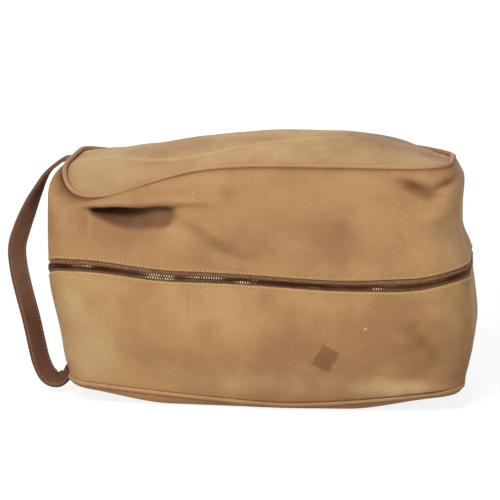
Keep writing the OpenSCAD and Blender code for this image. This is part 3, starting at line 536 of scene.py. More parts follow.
def leather(name, tan, brown, pale, marks=None, nap=1.0):
    n = Nodes(name)
    broad = n.span(n.noise(6.5, 4, 0.6), 0.38, 0.66)
    cloudy = n.span(n.noise(24, 5, 0.62), 0.40, 0.70)
    fine = n.noise(620, 3, 0.6)
    grain = n.add("TexVoronoi", {"Vector": n.coords, "Scale": 760.0}).outputs[0]
    rubbed_pale = n.span(n.noise(11, 3, 0.5, stretched(n, 1, 1, 1.7)), 0.56, 0.78)
    streaks = n.span(n.noise(9, 4, 0.7, stretched(n, 1.0, 1.0, 14.0)), 0.60, 0.80)
    dust = n.span(n.noise(300, 2, 0.5), 0.70, 0.80)
    colour = tan
    for patches, share, tint in ((broad, 0.68, brown), (cloudy, 0.34, brown), (rubbed_pale, 0.35, pale),
                                 (streaks, 0.10, pale), (dust, 0.22, pale)):
        colour = n.blend(n.times(patches, share), colour, tint)
    # Wear near the edges, with painted shade along the seams' piping
    colour = n.blend(n.times(n.attribute("soil"), 0.62, True), colour, SOILED, "MULTIPLY")
    # A painted highlight along the top panel's creases
    colour = n.blend(n.times(n.attribute("crease"), 0.75), colour, pale)
    # Tone patches, partly painted shade and painted light: darker where above 0, paler where below
    handled = n.attribute("tone")
    colour = n.blend(n.span(handled, 0.0, 1.0), colour, HANDLED, "MULTIPLY")
    colour = n.blend(n.span(handled, 0.0, -1.0, 0.0, 0.9), colour, pale)
    # Painted shade in the dent under the slumped corner
    colour = n.blend(n.attribute("grime"), colour, GRIMY, "MULTIPLY")
    margin = n.attribute("margin")
    # Painted shade in the sewn line
    sewn = n.span(n.math("ABSOLUTE", n.minus(margin, 1 + STITCH_MARGIN)), 0.75, 0.25)
    # A painted highlight on the rounded edge at the zip
    edge = n.times(n.span(margin, 3.0, 2.2), n.span(margin, 0.3, 0.5))
    colour = n.blend(n.times(edge, 0.5), colour, PALE_EDGE)
    colour = n.blend(n.times(sewn, 0.5), colour, SEWN_LINE)
    if marks:
        colour = marks(n, colour)
    light = n.span(fine, 0.3, 0.7, 0.93, 1.06)
    grey = n.add("CombineColor", {0: light, 1: light, 2: light}).outputs[0]
    colour = n.blend(1.0, colour, grey, "MULTIPLY")
    wide = n.bump(n.noise(55, 4, 0.6), 0.0012, 0.35)
    sunk = n.bump(n.times(sewn, -1.0), 0.0003, 0.6, wide)
    nappy = n.bump(fine, 0.00025, 0.55 * nap, sunk)
    return n.surface(Base_Color=colour, Normal=n.bump(grain, 0.00012, 0.35 * nap, nappy),
                     Roughness=n.span(cloudy, 0, 1, 0.66, 0.78), Specular_IOR_Level=0.16,
                     Sheen_Weight=0.03, Sheen_Roughness=0.45)


# Marks on the front, in mm: what lies ahead of FRONT_Y is the front
FRONT_Y = -60.0
PATCH_X, PATCH_Z, PATCH_TURN, PATCH_WIDE, PATCH_HIGH = 70.7, 58.2, -29.0, 20.3, 25.0
CRACK_X, CRACK_Z = -69.3, 112.0
SPECK_X, SPECK_Z = 110.9, 90.8
UPPER_SPECK_X, UPPER_SPECK_Z = -63.3, 225.5
PATCH_BROWN, CRACK_BROWN, SPECK_PALE = (0.20, 0.08, 0.036), (0.20, 0.10, 0.05), (0.72, 0.55, 0.36)


def over_front(n):
    """The places x and z, and 1 on the front and 0 elsewhere."""
    x, y, z = n.add("SeparateXYZ", {0: n.coords}).outputs
    return x, z, n.math("LESS_THAN", y, FRONT_Y / 1000)


def front_marks(n, colour):
    """Plain wear on the lower front: a darker patch, a hairline crack and a pale speck."""
    x, z, front = over_front(n)
    wobble = n.minus(n.noise(160, 3, 0.6), 0.5)
    dx = n.minus(x, PATCH_X / 1000)
    dz = n.minus(z, PATCH_Z / 1000)
    turn = math.radians(PATCH_TURN)
    u = n.math("ADD", n.times(dx, math.cos(turn)), n.times(dz, math.sin(turn)))
    v = n.minus(n.times(dz, math.cos(turn)), n.times(dx, math.sin(turn)))
    far = n.math("MAXIMUM", n.math("DIVIDE", n.math("ABSOLUTE", u), PATCH_WIDE / 2000),
                 n.math("DIVIDE", n.math("ABSOLUTE", v), PATCH_HIGH / 2000))
    far = n.math("ADD", far, n.times(wobble, 0.35))
    inside = n.times(n.span(far, 1.12, 0.78), front)
    patchy = n.span(n.noise(210, 4, 0.65), 0.34, 0.66, 0.62, 0.80)
    colour = n.blend(n.times(n.times(inside, patchy), 0.95), colour, PATCH_BROWN)
    bend = n.times(n.minus(n.noise(55, 2), 0.5), 0.006)
    aside = n.math("ABSOLUTE", n.minus(n.minus(x, CRACK_X / 1000), bend))
    height = n.math("ABSOLUTE", n.minus(z, CRACK_Z / 1000))
    crack = n.times(n.span(aside, 0.0007, 0.0001), n.span(height, 0.016, 0.012))
    crack = n.times(crack, front)
    colour = n.blend(n.times(crack, 0.45), colour, CRACK_BROWN)
    return speck(n, colour, SPECK_X, SPECK_Z, 0.7)


def speck(n, colour, at_x, at_z, share):
    x, z, front = over_front(n)
    spot = n.math("ADD", n.math("POWER", n.minus(x, at_x / 1000), 2.0),
                  n.math("POWER", n.minus(z, at_z / 1000), 2.0))
    spot = n.times(n.span(spot, 0.0000032, 0.0000004), front)
    return n.blend(n.times(spot, share), colour, SPECK_PALE)


def upper_marks(n, colour):
    return speck(n, colour, UPPER_SPECK_X, UPPER_SPECK_Z, 0.25)


def cloth(name, colour, dark, scale, rough=0.9):
    n = Nodes(name)
    warp = n.noise(scale, 2, 0.5, stretched(n, 1, 0.12, 0.12))
    weft = n.noise(scale, 2, 0.5, stretched(n, 0.12, 1, 1))
    weave = n.times(n.math("ADD", warp, weft), 0.5)
    shade = n.blend(n.span(weave, 0.38, 0.60), dark, colour)
    shade = n.blend(n.times(n.span(n.noise(18, 4), 0.4, 0.7), 0.3), shade, dark)
    return n.surface(Base_Color=shade, Normal=n.bump(weave, 0.0002, 0.6), Roughness=rough,
                     Specular_IOR_Level=0.2, Sheen_Weight=0.2, Sheen_Roughness=0.5)


def brass(name, bright, dull, rough):
    n = Nodes(name)
    tarnish = n.span(n.noise(260, 4, 0.65), 0.42, 0.68)
    colour = n.blend(n.times(tarnish, 0.6), bright, dull)
    scratches = n.noise(900, 2, 0.5, stretched(n, 1, 6, 1))
    return n.surface(Base_Color=colour, Metallic=1.0, Roughness=n.span(tarnish, 0, 1, rough, rough + 0.18),
                     Normal=n.bump(scratches, 0.00005, 0.3))


def teeth_metal(name, bright, middle, dull):
    n = Nodes(name)
    tarnish = n.span(n.noise(420, 3, 0.6), 0.42, 0.72, 1.0, 0.72)
    # Painted glints on the teeth, dulled by tarnish
    rubbed_share = n.times(n.span(n.attribute("shine"), 0.15, 0.95), tarnish)
    colour = n.blend(n.span(rubbed_share, 0.0, 0.35), dull, middle)
    colour = n.blend(n.span(rubbed_share, 0.30, 0.85), colour, bright)
    return n.surface(Base_Color=colour, Metallic=1.0, Roughness=n.span(rubbed_share, 0, 1, 0.48, 0.20))


def thread(name, colour, dark):
    n = Nodes(name)
    twist = n.add("TexWave", {"Vector": n.coords, "Scale": 620.0, "Distortion": 1.0},
                  bands_direction="DIAGONAL").outputs[1]
    shade = n.blend(n.span(twist, 0.2, 0.8), dark, colour)
    return n.surface(Base_Color=shade, Normal=n.bump(twist, 0.0001, 0.5), Roughness=0.6,
                     Specular_IOR_Level=0.35)


TAN, BROWN, PALE = (0.550, 0.322, 0.142), (0.340, 0.168, 0.078), (0.640, 0.430, 0.225)


def toned(red, green, blue):
    return [(a * red, b * green, c * blue) for a, b, c in (TAN, BROWN, PALE)]


tan_leather = leather("tan_leather", *toned(0.97, 0.96, 0.92))
front_leather = leather("tan_leather_front", *toned(0.94, 0.95, 0.90), front_marks)
# A darker copy of the leather for the lid's wall: painted shade
upper_leather = leather("tan_leather_upper", *toned(0.85, 0.82, 0.80), upper_marks)
# A paler copy of the leather for the top panel: painted light
top_leather = leather("tan_leather_top", *toned(1.01, 1.11, 1.13))
piping_leather = leather("piping_leather", (0.53, 0.305, 0.150), (0.38, 0.20, 0.10), (0.62, 0.41, 0.23),
                         nap=0.7)
strap_leather = leather("strap_leather", (0.225, 0.116, 0.068), (0.118, 0.058, 0.037), (0.330, 0.190, 0.112),
                        nap=0.6)
lining = cloth("lining_cloth", (0.36, 0.27, 0.17), (0.26, 0.19, 0.115), 900.0)
tape_cloth = cloth("zip_tape", (0.245, 0.122, 0.058), (0.120, 0.054, 0.025), 1100.0, 0.8)
zip_brass = brass("zip_brass", (0.46, 0.27, 0.135), (0.15, 0.070, 0.036), 0.24)
tooth_brass = teeth_metal("tooth_brass", (1.0, 0.85, 0.58), (0.40, 0.215, 0.105), (0.095, 0.034, 0.013))
ochre = thread("ochre_thread", (0.84, 0.57, 0.20), (0.62, 0.40, 0.13))
worn_thread = thread("strap_thread", (0.42, 0.22, 0.10), (0.27, 0.13, 0.06))

# Leather bands
for half, body, material in (("lower", "lower_shell", front_leather), ("upper", "lid", upper_leather)):
    piece = wall(f"{half}_wall_leather", half, material)
    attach(piece, body)
    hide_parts(f"{half}_wall")


def back_leather():
    """One sheet from the base seam to the top seam, which folds at the height of the zip."""
    columns = np.arange(LAST, STATIONS + FIRST + 1) % STATIONS
    steps = 60
    low = mix(seam_v("lower", SEAM_GAP)[:, None], 1.0, np.linspace(0, 1, steps)[None])
    high = mix(0.0, seam_v("upper", 0)[:, None], np.linspace(0, 1, steps)[None, 1:])
    low_rise, high_rise = relief("lower", low), relief("upper", high)
    outside, inside = (np.hstack([skin("lower", low, d - low_rise), skin("upper", high, d - high_rise)])
                       for d in (0.0, LEATHER))
    ring = np.hstack([outside, inside[:, ::-1]])[columns]
    z = ring[..., 2]
    # Darker along the fold at the zip's height and towards the bottom edge
    fold = 0.6 * bump(z, ZIP_HEIGHT, 5.0)
    worn = np.maximum(fold, np.exp(-(z - z.min()) / 5.0))
    count, rows = ring.shape[:2]
    faces = grid_faces(count, rows) + sheet_ends(count, rows, rows // 2 - 1)
    piece = make("back_leather", ring.reshape(-1, 3), faces, tan_leather, soil=worn)
    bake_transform(piece)
    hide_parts("lower_back", "upper_back")


back_leather()

# Top panel: a soft crown with its creases
SPINE = HALF_LENGTH - TOP_IN_RIGHT - HALF_DEPTH
# Each crease is a line in x and y, with its depth, its width and the strength of a painted highlight along it
CREASES = [
    ([(-182, 8), (-152, -20), (-119, -43), (-93, -53), (-70, -56), (-50, -56), (-27, -47), (20, -32),
      (70, -12), (110, 6)], 2.0, 8, 0.8),
    ([(-150, 40), (-90, 18), (-20, 8)], 1.4, 14, 0.0),
    ([(60, -64), (110, -48), (160, -20)], 1.2, 11, 0.15),
]


def crown_z(x):
    away = x - BASE_LOW
    fall = np.where(away < 0, np.abs(away / 233.0) ** 1.7, np.abs(away / 200.0) ** 3)
    return TOP_SEAM - 22 + (CROWN + 22) * np.exp(-fall)


def top_point(s, depth, drop=0.0):
    e = top_outline(2 * SEAM_GAP)
    q = np.clip(e[:, 0], -SPINE, SPINE) * 1.1
    x, y = mix(q, e[:, 0], s), e[:, 1] * s
    z = mix(crown_z(x), Z_TOP, s ** 2.4)
    p = np.column_stack([x, y, z])
    inner = smooth((1 - s) / 0.12)
    z = z + inner * (1.2 * noise(p, 70, 5) + 0.5 * noise(p, 27, 6) + 0.15 * noise(p, 12, 7))
    for points, deep, wide, _ in CREASES:
        z = z - inner * deep * bump(line_distance(x, y, points), 0, wide)
    return np.column_stack([x, y, z - depth - drop])


def top_panel():
    inner_rings = 62
    shares = np.concatenate([[1.0, 0.9965, 0.992, 0.985, 0.975], np.linspace(0.96, 0.03, inner_rings)])
    drops = [0.9, 0.45, 0.2, 0.08] + [0.0] * (inner_rings + 1)
    outside = np.array([top_point(s, 0, d) for s, d in zip(shares, drops)])
    inside = np.array([top_point(s, LEATHER, d * 0.3) for s, d in zip(shares, drops)])
    both = np.concatenate([outside[::-1], inside]).transpose(1, 0, 2)
    # A painted highlight along the creases
    line = np.zeros(both.shape[:2])
    for points, _, _, shown in CREASES:
        away = line_distance(both[..., 0], both[..., 1], points)
        line = np.maximum(line, shown * bump(away, 0, 2.6))
    line *= 0.45 + 0.55 * (noise(both, 19, 8) * 0.5 + 0.5)
    edge = np.concatenate([shares[::-1], shares])
    # Painted shade in a narrow band along the rim, where the panel meets the piping
    worn = np.tile(np.exp(-(1 - edge) * 85 / 4.0), (STATIONS, 1))
    # Painted shade over the right half of the top, a darker spot by the slumped corner, and painted light
    # over the left
    dusky = 0.70 * bump(both[..., 0], 146, 60) * bump(both[..., 1], 4, 84) * (1 + 0.4 * noise(both, 26, 14))
    dusky += 0.22 * bump(both[..., 0], -138, 14) * bump(both[..., 1], -20, 14)
    dusky -= 0.55 * bump(both[..., 0], -150, 44) * bump(both[..., 1], -10, 60)
    piece = panel("top_panel_leather", outside, inside, top_leather, False,
                  soil=worn, crease=line, tone=dusky)
    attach(piece, "lid")
    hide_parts("top_panel")


top_panel()

# Base panel
def base_panel_rings():
    flat = outline(FLAT_LENGTH, FLAT_LENGTH, FLAT_DEPTH, FLAT_R, FLAT_R, FLAT_R, FLAT_R)
    edge = Z_BASE - SEAM_GAP
    rows = [(0.3, 1.0), (0.8, 0.88), (1.5, 0.70), (2.5, 0.5), (4.2, 0.32), (7.0, 0.17), (10.0, 0.09),
            (15.0, 0.03), (20.5, 0.0)]
    outside, inside = [], []
    for inset, share in rows:
        p = base_outline(inset)
        rise = 16 * smooth((np.abs(p[:, 0]) - FLAT_LENGTH + 35) / 110)
        z = mix(np.minimum(rise, edge * 0.8), edge, share)
        sink = LEATHER if share == 1.0 else LEATHER / 2
        outside.append(np.column_stack([p[:, :2], z]))
        inside.append(np.column_stack([p[:, :2] - p[:, 2:] * sink, z + (0 if share == 1.0 else LEATHER)]))
    for t in (1.0, 0.66, 0.33, 0.05):
        outside.append(np.column_stack([flat[:, 0] * (0.35 + 0.65 * t), flat[:, 1] * t, np.zeros(STATIONS)]))
        inside.append(outside[-1] + [0, 0, LEATHER])
    return np.array(outside), np.array(inside)


base_outside, base_inside = base_panel_rings()
edge_rows = np.concatenate([np.arange(len(base_outside))[::-1], np.arange(len(base_outside))])
# Painted shade in a narrow band along the rim, by the piping
base_panel = panel("base_panel_leather", base_outside, base_inside, tan_leather, True,
                   soil=np.tile(np.exp(-edge_rows / 2.0), (STATIONS, 1)))
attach(base_panel, "lower_shell")
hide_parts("base_panel")

# Piping
def piping(name, line, z, body, *nodes):
    turn = np.radians(np.arange(0, 360, 22.5))
    centre = np.column_stack([line[:, :2], z])
    out = np.column_stack([line[:, 2:], np.zeros(STATIONS)])
    r = (PIPING + 0.5) * (1 + 0.03 * noise(centre, 9, 4))
    rings = (centre[:, None] + out[:, None] * (r[:, None] * np.cos(turn))[..., None]
             + np.array([0, 0, 1.0]) * (r[:, None] * np.sin(turn))[..., None])
    # Painted shade on the roll's inner half, where it meets the panels, over a little wear all round
    worn = np.tile(0.25 + 0.75 * smooth(-np.cos(turn)), (STATIONS, 1))
    piece = tube(name, rings[:, ::-1], piping_leather, soil=worn)
    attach(piece, body)
    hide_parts(*nodes)


piping("base_piping_roll", base_outline(1), Z_BASE, "lower_shell", "base_piping", "base_piping_cord")
piping("top_piping_roll", top_outline(SEAM_GAP), Z_TOP + PIPING_LIFT, "lid", "top_piping", "top_piping_cord")

# Linings
LINING_DEPTH = LEATHER + TAPE + 2 * GAP + 1.2


def lining_cup(half, body):
    edge, seam = rim_v(half, SLIT + 3), seam_v(half, SEAM_GAP + 6)
    down = np.linspace(0, 1, 50)[None]
    v = mix(edge[:, None], seam[:, None], down)
    folds = 1.3 * np.maximum(noise(FACE[half](v), 34, 9), -0.2) * smooth(down * 5)
    rings = []
    for d in (LINING_DEPTH, LINING_DEPTH + CLOTH):
        sheet = skin(half, v, d + np.maximum(folds, 0) - np.minimum(relief(half, v), 0))
        # The cloth of the lid keeps clear of the dent
        if half == "upper":
            clear = 16 * bump(sheet[..., 0], -138, 46) * bump(sheet[..., 2], 203, 24) * (sheet[..., 1] < 0)
            sheet = sheet - OUT[:, None, :] @ np.array([[1, 0, 0], [0, 1, 0]]) * clear[..., None]
        rows = list(sheet.transpose(1, 0, 2))
        if half == "upper":
            rows = rows[:-9]
            for s in np.linspace(0.93, 0.03, 40):
                rows.append(top_point(s, d + 3 * smooth((s - 0.78) / 0.15)))
        else:
            lift = d - LINING_DEPTH + GAP + 0.3
            rows += [p + [0, 0, lift] for p in base_inside[5:]]
        rings.append(np.array(rows))
    piece = panel(f"{half}_lining_cloth", rings[0], rings[1], lining, half == "lower")
    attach(piece, body)
    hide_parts(f"{half}_lining")


lining_cup("lower", "lower_shell")
lining_cup("upper", "lid")

# Zip: tapes, teeth and stitches
DROP = CHAIN_DROP * smooth(-ZIP_RIM[:, 3])
TAPE_FIRST, TAPE_LAST = FIRST + round(0.8 * N_CORNER), LAST - round(0.8 * N_CORNER)
# The tape's bead, on which the teeth sit: its distance from the zip's middle and its radius
BEAD_MIDDLE, BEAD_R = 2.9, 0.75


def zip_tape(half, body):
    def line(d, depth):
        return skin(half, rim_v(half, d), depth[:, None])[:, 0]

    bow = smooth((STRAIGHT_END - TUCK / 2 - ZIP_RIM[:, 1]) / 3 + 0.5)
    under, proud = LEATHER + GAP, CHAIN_DEPTH - TAPE / 2
    rows = [(ZIP_OPEN / 2 + TAPE_OVERLAP, 0.0), (ZIP_OPEN / 2, 0.0), (5.7, 0.35), (5.0, 0.75), (4.3, 1.0),
            (3.5, 1.0)]
    outer, inner, rims = [], [], []
    drop = DROP if half == "lower" else -DROP
    for d, share in rows:
        depth = mix(under, proud, share * bow)
        outer.append(line(d + drop * share, depth))
        inner.append(line(d + drop * share, depth + TAPE))
    for angle in np.radians([60, 30, 0, -30, -60]):
        d, deep = BEAD_MIDDLE - BEAD_R * math.cos(angle), BEAD_R * math.sin(angle)
        depth = mix(under, proud, bow) + TAPE / 2 - deep
        rims.append(line(d + drop, depth))
    ring = np.array(outer + rims + inner[::-1]).transpose(1, 0, 2)[TAPE_FIRST:TAPE_LAST + 1]
    ring = ring if half == "lower" else ring[:, ::-1]
    piece = tube(f"{half}_zip_tape_weave", ring, tape_cloth, closed=False)
    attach(piece, body)
    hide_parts(f"{half}_zip_tape")


zip_tape("lower", "lower_shell")
zip_tape("upper", "lid")


def run_length(route):
    """The distance along a route at each of its points."""
    return np.concatenate([[0], np.cumsum(np.linalg.norm(np.diff(route, axis=0), axis=1))])


def copies(name, route, distances, points, faces, material, shine=None):
    """A form repeated along a route: its X points outwards, its Y along the route and its Z across it."""
    s = run_length(route)

    def at(d):
        return np.column_stack([np.interp(d, s, route[:, k]) for k in range(3)])

    distances = np.asarray(distances)
    forward = unit(at(distances + 3) - at(distances - 3))
    out = unit(np.cross(forward, [0, 0, 1.0]))
    up = np.cross(out, forward)
    axes = np.stack([out, forward, up], axis=1)
    placed = at(distances)[:, None] + np.einsum("vk,ckj->cvj", points, axes)
    every = [[i + c * len(points) for i in f] for c in range(len(distances)) for f in faces]
    shown = {} if shine is None else {"shine": shine(placed.mean(1))[:, None] * np.ones(len(points)) * SHINE}
    return make(name, placed.reshape(-1, 3), every, material, **shown)


CHAIN = np.column_stack([ZIP_RIM[:, :2] - ZIP_RIM[:, 2:] * CHAIN_DEPTH, Z_ZIP - DROP])[WALL]
CHAIN_S = run_length(CHAIN)
LEFT_END, RIGHT_END = CHAIN_S[N_CORNER], CHAIN_S[len(WALL) - 1 - N_CORNER]
SLIDER_CLEAR, TOOTH_HALF = 0.5, 0.55
FIRST_TOOTH = LEFT_END + STRAIGHT_END - SLIDER_Y + SLIDER_LENGTH / 2 + SLIDER_CLEAR + TOOTH_HALF
LAST_TOOTH = RIGHT_END - STOP - 1
TEETH = int((LAST_TOOTH - FIRST_TOOTH) / PITCH)

# Painted glint on each point of a tooth: by its layers outwards and its outline from leg to leg
SHINE = np.outer([0, 0, 0, 0.05, 0.45, 1.0], [0.1, 0.9, 1, 0.55, 0.1, 0, 0, 0.1, 0.55, 1, 0.9, 0.1]).ravel()
# Stretches of each row where the teeth carry painted glints: middle in x, reach and how much
RUBBED = {
    "upper": [(-176, 13, 0.95), (-98, 24, 0.95), (-50, 26, 1.0), (-4, 12, 0.6), (84, 16, 0.45),
              (134, 14, 0.55), (172, 14, 0.55)],
    "lower": [(-98, 24, 0.9), (-52, 18, 0.45), (-12, 13, 1.0), (58, 26, 0.4), (122, 10, 0.8)],
}
# A tooth's share of its full width, and the height about which its outer layers shrink
TOOTH_SLIM, TOOTH_MIDDLE = 0.96, 1.25


def tooth(side):
    """A stamped tooth: two legs on the tape's bead and a narrower head with a rounded nib."""
    half_yz = [(0.15, -0.7), (0.38, -0.45), (0.48, 0.1), (0.50, 1.35), (0.66, 1.75), (0.64, 2.9)]
    outline_yz = [(-y, z) for y, z in half_yz[::-1]] + half_yz
    layers = [(-1.2, 0.45), (-0.95, 0.8), (-0.5, 1.0), (0.5, 1.0), (0.95, 0.90), (1.2, 0.70)]
    points = []
    for x, scale in layers:
        for y, z in outline_yz:
            height = TOOTH_MIDDLE + (z - TOOTH_MIDDLE) * (0.9 + 0.1 * scale)
            points.append((x, y * scale * TOOTH_SLIM, side * height))
    count = len(outline_yz)
    faces = grid_faces(len(layers), count) + ring_ends(len(layers), count)
    return np.array(points), faces if side > 0 else [f[::-1] for f in faces]


# Painted glints along a row, fading out towards both ends
def rubbed(half):
    def weight(p):
        total = 0.42 + 0.22 * noise(p, 24, 15)
        for x, reach, amount in RUBBED[half]:
            total = np.maximum(total, amount * (1.15 + 0.5 * noise(p, 5, 16)) * bump(p[:, 0], x, reach))
        return np.clip(total, 0.15, 1.1) * (1 - smooth((np.abs(p[:, 0]) - 186) / 14))
    return weight


for half, side, shift, body in (("lower", -1, 0.0, "lower_shell"), ("upper", 1, 0.5, "lid")):
    points, faces = tooth(side)
    piece = copies(f"{half}_zip_teeth_row", CHAIN, FIRST_TOOTH + (np.arange(TEETH) + shift) * PITCH,
                   points, faces, tooth_brass, rubbed(half))
    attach(piece, body)
    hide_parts(f"{half}_zip_teeth")


def stitch():
    """A thread that rises from the leather and dips back into it."""
    steps, sides = 9, 8
    y = np.linspace(-STITCH / 2, STITCH / 2, steps)
    x = 0.30 - 0.75 * np.abs(y / (STITCH / 2)) ** 3
    r = THREAD / 2 * (1 - 0.25 * (y / (STITCH / 2)) ** 2)
    turn = np.linspace(0, 2 * math.pi, sides, endpoint=False)
    points = [(x[k] + r[k] * math.cos(t), y[k], r[k] * math.sin(t)) for k in range(steps) for t in turn]
    faces = grid_faces(steps, sides) + ring_ends(steps, sides)
    return np.array(points), [f[::-1] for f in faces]


def stitch_row(name, route, body, nodes, material=None, blend=None):
    points, faces = stitch()
    count = int(run_length(route)[-1] / STITCH_PITCH)
    piece = copies(name, route, (np.arange(count) + 0.5) * STITCH_PITCH, points, faces, material or ochre)
    if blend:
        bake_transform(piece)
    else:
        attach(piece, body)
    if nodes:
        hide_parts(*nodes)


for half, body in (("lower", "lower_shell"), ("upper", "lid")):
    route = skin(half, rim_v(half, SLIT + STITCH_MARGIN))[TAPE_FIRST:TAPE_LAST + 1, 0]
    stitch_row(f"{half}_zip_stitch_row", route, body, [f"{half}_zip_stitching"])

# Strap
STRAP_WIDTH, STRAP_HALF, STRAP_TURN = 20.0, 1.75, 55.0
STRAP_REACH, STRAP_LEAN = 58.5, 37.0
STRAP_HEAD = 3.0 / STRAP_REACH
# Each place on the strap's middle line: shares of its reach, of its lean and of the height between the seams
STRAP_PLACES = np.array([
    (STRAP_HEAD, 0.162, 1.006), (0.11, 0.162, 1), (0.22, 0.162, 0.98), (0.42, 0.108, 0.931),
    (0.592, 0.054, 0.852), (0.745, -0.054, 0.768), (0.9, -0.162, 0.667), (1, -0.243, 0.574),
    (0.976, -0.351, 0.473), (0.886, -0.486, 0.362), (0.773, -0.622, 0.243), (0.684, -0.757, 0.132),
    (0.594, -0.892, 0.036), (0.464, -1, -0.027), (0.295, -0.973, -0.046), (0.157, -0.838, -0.027),
    (STRAP_HEAD + 0.04, -0.73, -0.006)])
STRAP_LOW = (BASE_IN_LEFT - HALF_LENGTH, base_z(np.array([BASE_IN_LEFT - HALF_LENGTH, 0])))
STRAP_HIGH = (TOP_IN_LEFT - HALF_LENGTH, top_z(np.array([TOP_IN_LEFT - HALF_LENGTH, STRAP_LEAN * 0.162])))
STRAP_ROUTE = np.column_stack([
    mix(STRAP_LOW[0], STRAP_HIGH[0], STRAP_PLACES[:, 2]) - STRAP_REACH * STRAP_PLACES[:, 0],
    STRAP_LEAN * STRAP_PLACES[:, 1],
    mix(STRAP_LOW[1], STRAP_HIGH[1], STRAP_PLACES[:, 2])])
# Both ends run on into the seams
STRAP_ROUTE = np.vstack([STRAP_ROUTE[0] + [3.5, 0, 0.2], STRAP_ROUTE, STRAP_ROUTE[-1] + [2.5, 1.5, 1.5]])


def strap_middle(u):
    last = len(STRAP_ROUTE) - 1
    k = np.clip(np.floor(u).astype(int), 0, last - 1)
    f = (u - k)[:, None]
    a, b, c, d = (STRAP_ROUTE[np.clip(k + j, 0, last)] for j in (-1, 0, 1, 2))
    return b + 0.5 * f * (c - a + f * (2 * a - 5 * b + 4 * c - d + f * (3 * (b - c) + d - a)))


def strap_frame(u):
    last = len(STRAP_ROUTE) - 3
    forward = unit(strap_middle(u + 0.04) - strap_middle(np.maximum(u - 0.04, 0)))
    flat = unit(np.array([0, -1.0, 0]) + forward * forward[:, 1:2])
    face = np.cross(flat, forward)
    w = u - 1
    t = np.radians(STRAP_TURN) * smooth((w - 2.3) / 4.3) * mix(0.45, 1, smooth((last - 0.4 - w) / 3))
    across = flat * np.cos(t)[:, None] - face * np.sin(t)[:, None]
    out = face * np.cos(t)[:, None] + flat * np.sin(t)[:, None]
    return across, out


def strap_section():
    """Two layers sewn at their edges: a soft pillow between two stitched margins."""
    half, r = STRAP_WIDTH / 2, 0.9
    top = []
    for a in np.linspace(-half + r, half - r, 23):
        margin = bump(abs(a), half - STITCH_MARGIN, 0.8)
        top.append((a, STRAP_HALF + 0.35 * (1 - (a / half) ** 2) - 0.35 * margin))
    side = [(half - r + r * math.cos(t), (STRAP_HALF - r) + r * math.sin(t)) for t in np.radians([60, 30, 0])]
    right = side + [(half - 0.35, 0.0)] + [(a, -b) for a, b in side[::-1]]
    bottom = [(a, -b) for a, b in top[::-1]]
    left = [(-a, -b) for a, b in right]
    return np.array(top + right + bottom + left)


def strap():
    u = np.linspace(0, len(STRAP_ROUTE) - 1, 190)
    across, out = strap_frame(u)
    section = strap_section()
    middle = strap_middle(u)
    wave = 0.5 * noise(middle, 24, 12)
    rings = (middle[:, None] + across[:, None] * section[None, :, :1] + out[:, None] * section[None, :, 1:]
             + out[:, None] * (wave[:, None] * (1 - (section[:, 0] / 12) ** 2)[None])[..., None])
    worn = np.tile(smooth((np.abs(section[:, 0]) - 8.4) / 1.4), (len(u), 1))
    # Darker towards the bottom and paler along one edge
    low = 0.70 * smooth((150 - rings[..., 2]) / 90) - 0.30 * smooth((section[:, 0] - 5) / 4)[None]
    piece = tube("strap_leather_loop", rings, strap_leather, closed=False, soil=worn, tone=low)
    blend = ((-0.25, -0.02, 0.075), (-0.25, -0.004, 0.205))
    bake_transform(piece)
    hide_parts("lower_strap_face", "lower_strap_backing", "upper_strap_face", "upper_strap_backing")
    for side, name in ((-1, "strap_stitch_row_back"), (1, "strap_stitch_row_front")):
        inner = (u > 1.2) & (u < len(STRAP_ROUTE) - 2.2)
        route = middle + across * side * (STRAP_WIDTH / 2 - STITCH_MARGIN) + out * (STRAP_HALF - 0.05)
        nodes = ["upper_strap_stitching", "lower_strap_stitching"] if side > 0 else []
        stitch_row(name, route[inner], None, nodes, worn_thread, blend)


strap()

# Metal parts carried over from the CAD
for node in ("slider_body", "slider_bridge", "puller_link", "puller_tab", "zip_bottom_stop", "lower_top_stop",
             "upper_top_stop"):
    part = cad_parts[node]
    part.data.materials.clear()
    part.data.materials.append(zip_brass)
    if node != "puller_link":
        soft = part.modifiers.new("soft_edges", "BEVEL")
        soft.width, soft.segments, soft.limit_method, soft.angle_limit = 0.0002, 2, "ANGLE", math.radians(35)

# Floor, light and camera
def seen_straight(n):
    """1 for what the camera, gloss and glass see, and 0 for the light that it sends round."""
    path = n.add("LightPath").outputs
    seen = n.math("MAXIMUM", path["Is Camera Ray"], path["Is Glossy Ray"])
    return n.math("MAXIMUM", seen, path["Is Transmission Ray"])


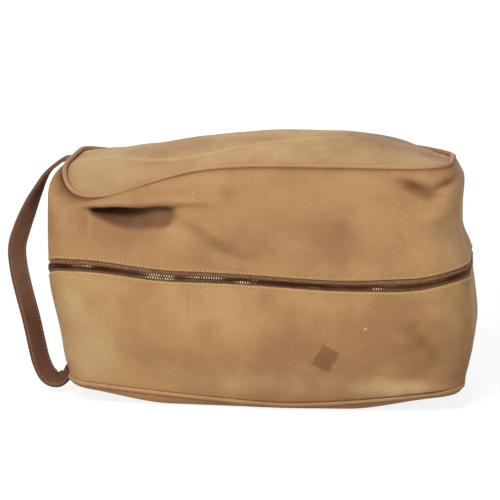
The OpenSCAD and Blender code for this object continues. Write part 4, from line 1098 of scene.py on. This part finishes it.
def floor():
    """A plain floor; the camera, gloss and glass see it as a white sheet with a soft shadow."""
    n = Nodes("pale_floor")
    plain = n.add("BsdfDiffuse", {"Color": (0.62, 0.61, 0.60, 1)}).outputs[0]
    thin = n.add("BsdfDiffuse", {"Color": (0.24, 0.24, 0.24, 1)}).outputs[0]
    away = n.add("VectorMath", {0: n.coords}, operation="LENGTH").outputs["Value"]
    light = n.span(away, 0.5, 1.4, 0.86, 1.0)
    glow = n.add("Emission", {"Color": (1, 1, 1, 1), "Strength": light}).outputs[0]
    shown = n.add("AddShader", {0: thin, 1: glow}).outputs[0]
    both = n.add("MixShader", {0: seen_straight(n), 1: plain, 2: shown}).outputs[0]
    n.add("OutputMaterial", {0: both})
    reach, cells, below = 9000.0, 12, 0.15
    line = np.linspace(-reach, reach, cells + 1)
    points = [(x, y, -below) for x in line for y in line]
    ground = make("floor", points, grid_faces(cells + 1, cells + 1, False, False), n.owner)


floor()


def lamp(name, place, size, power):
    data = bpy.data.lights.new(name, "AREA")
    data.shape, data.size, data.energy = "DISK", size, power
    light = put(name, data)
    light.location = place
    direction = np.array(LAMP_AIM) - np.array(place)
    light.rotation_mode = "QUATERNION"
    light.rotation_quaternion = Vector(direction.tolist()).to_track_quat("-Z", "Y")


LAMP_AIM = (0, 0, 0.12)
lamp("key_light", (-0.45, -1.65, 1.70), 1.2, 42)
lamp("fill_light", (1.9, -1.7, 0.7), 1.6, 7)
lamp("back_light", (0.2, 2.3, 1.0), 1.8, 10)


def studio(soft_light):
    """Soft white light from all round; the camera, gloss and glass see plain white."""
    n = Nodes("studio", "worlds")
    bpy.context.scene.world = n.owner
    soft, plain = (n.add("Background", {0: (1, 1, 1, 1), 1: strength}).outputs[0]
                   for strength in (soft_light, 1.0))
    both = n.add("MixShader", {0: seen_straight(n), 1: soft, 2: plain}).outputs[0]
    n.add("OutputWorld", {0: both})


studio(0.285)

# Camera: round to the bag's right, above the horizon, how far off and what it aims at (m)
AZIMUTH, ELEVATION, DISTANCE, TARGET = math.radians(6), math.radians(12), 2.6, (0, 0, 0.128)
SENSOR, LENS, SHIFT_X, SHIFT_Y = 36.0, 179.15, -0.032, 0.0398
camera = put("camera", bpy.data.cameras.new("camera"))
bpy.context.scene.camera = camera
camera.data.sensor_width, camera.data.lens = SENSOR, LENS
camera.data.shift_x, camera.data.shift_y = SHIFT_X, SHIFT_Y
camera.location = (TARGET[0] + DISTANCE * math.sin(AZIMUTH) * math.cos(ELEVATION),
                   TARGET[1] - DISTANCE * math.cos(AZIMUTH) * math.cos(ELEVATION),
                   TARGET[2] + DISTANCE * math.sin(ELEVATION))
camera.rotation_euler = (math.radians(90) - ELEVATION, 0, AZIMUTH)
bpy.context.scene.view_settings.view_transform = "Standard"
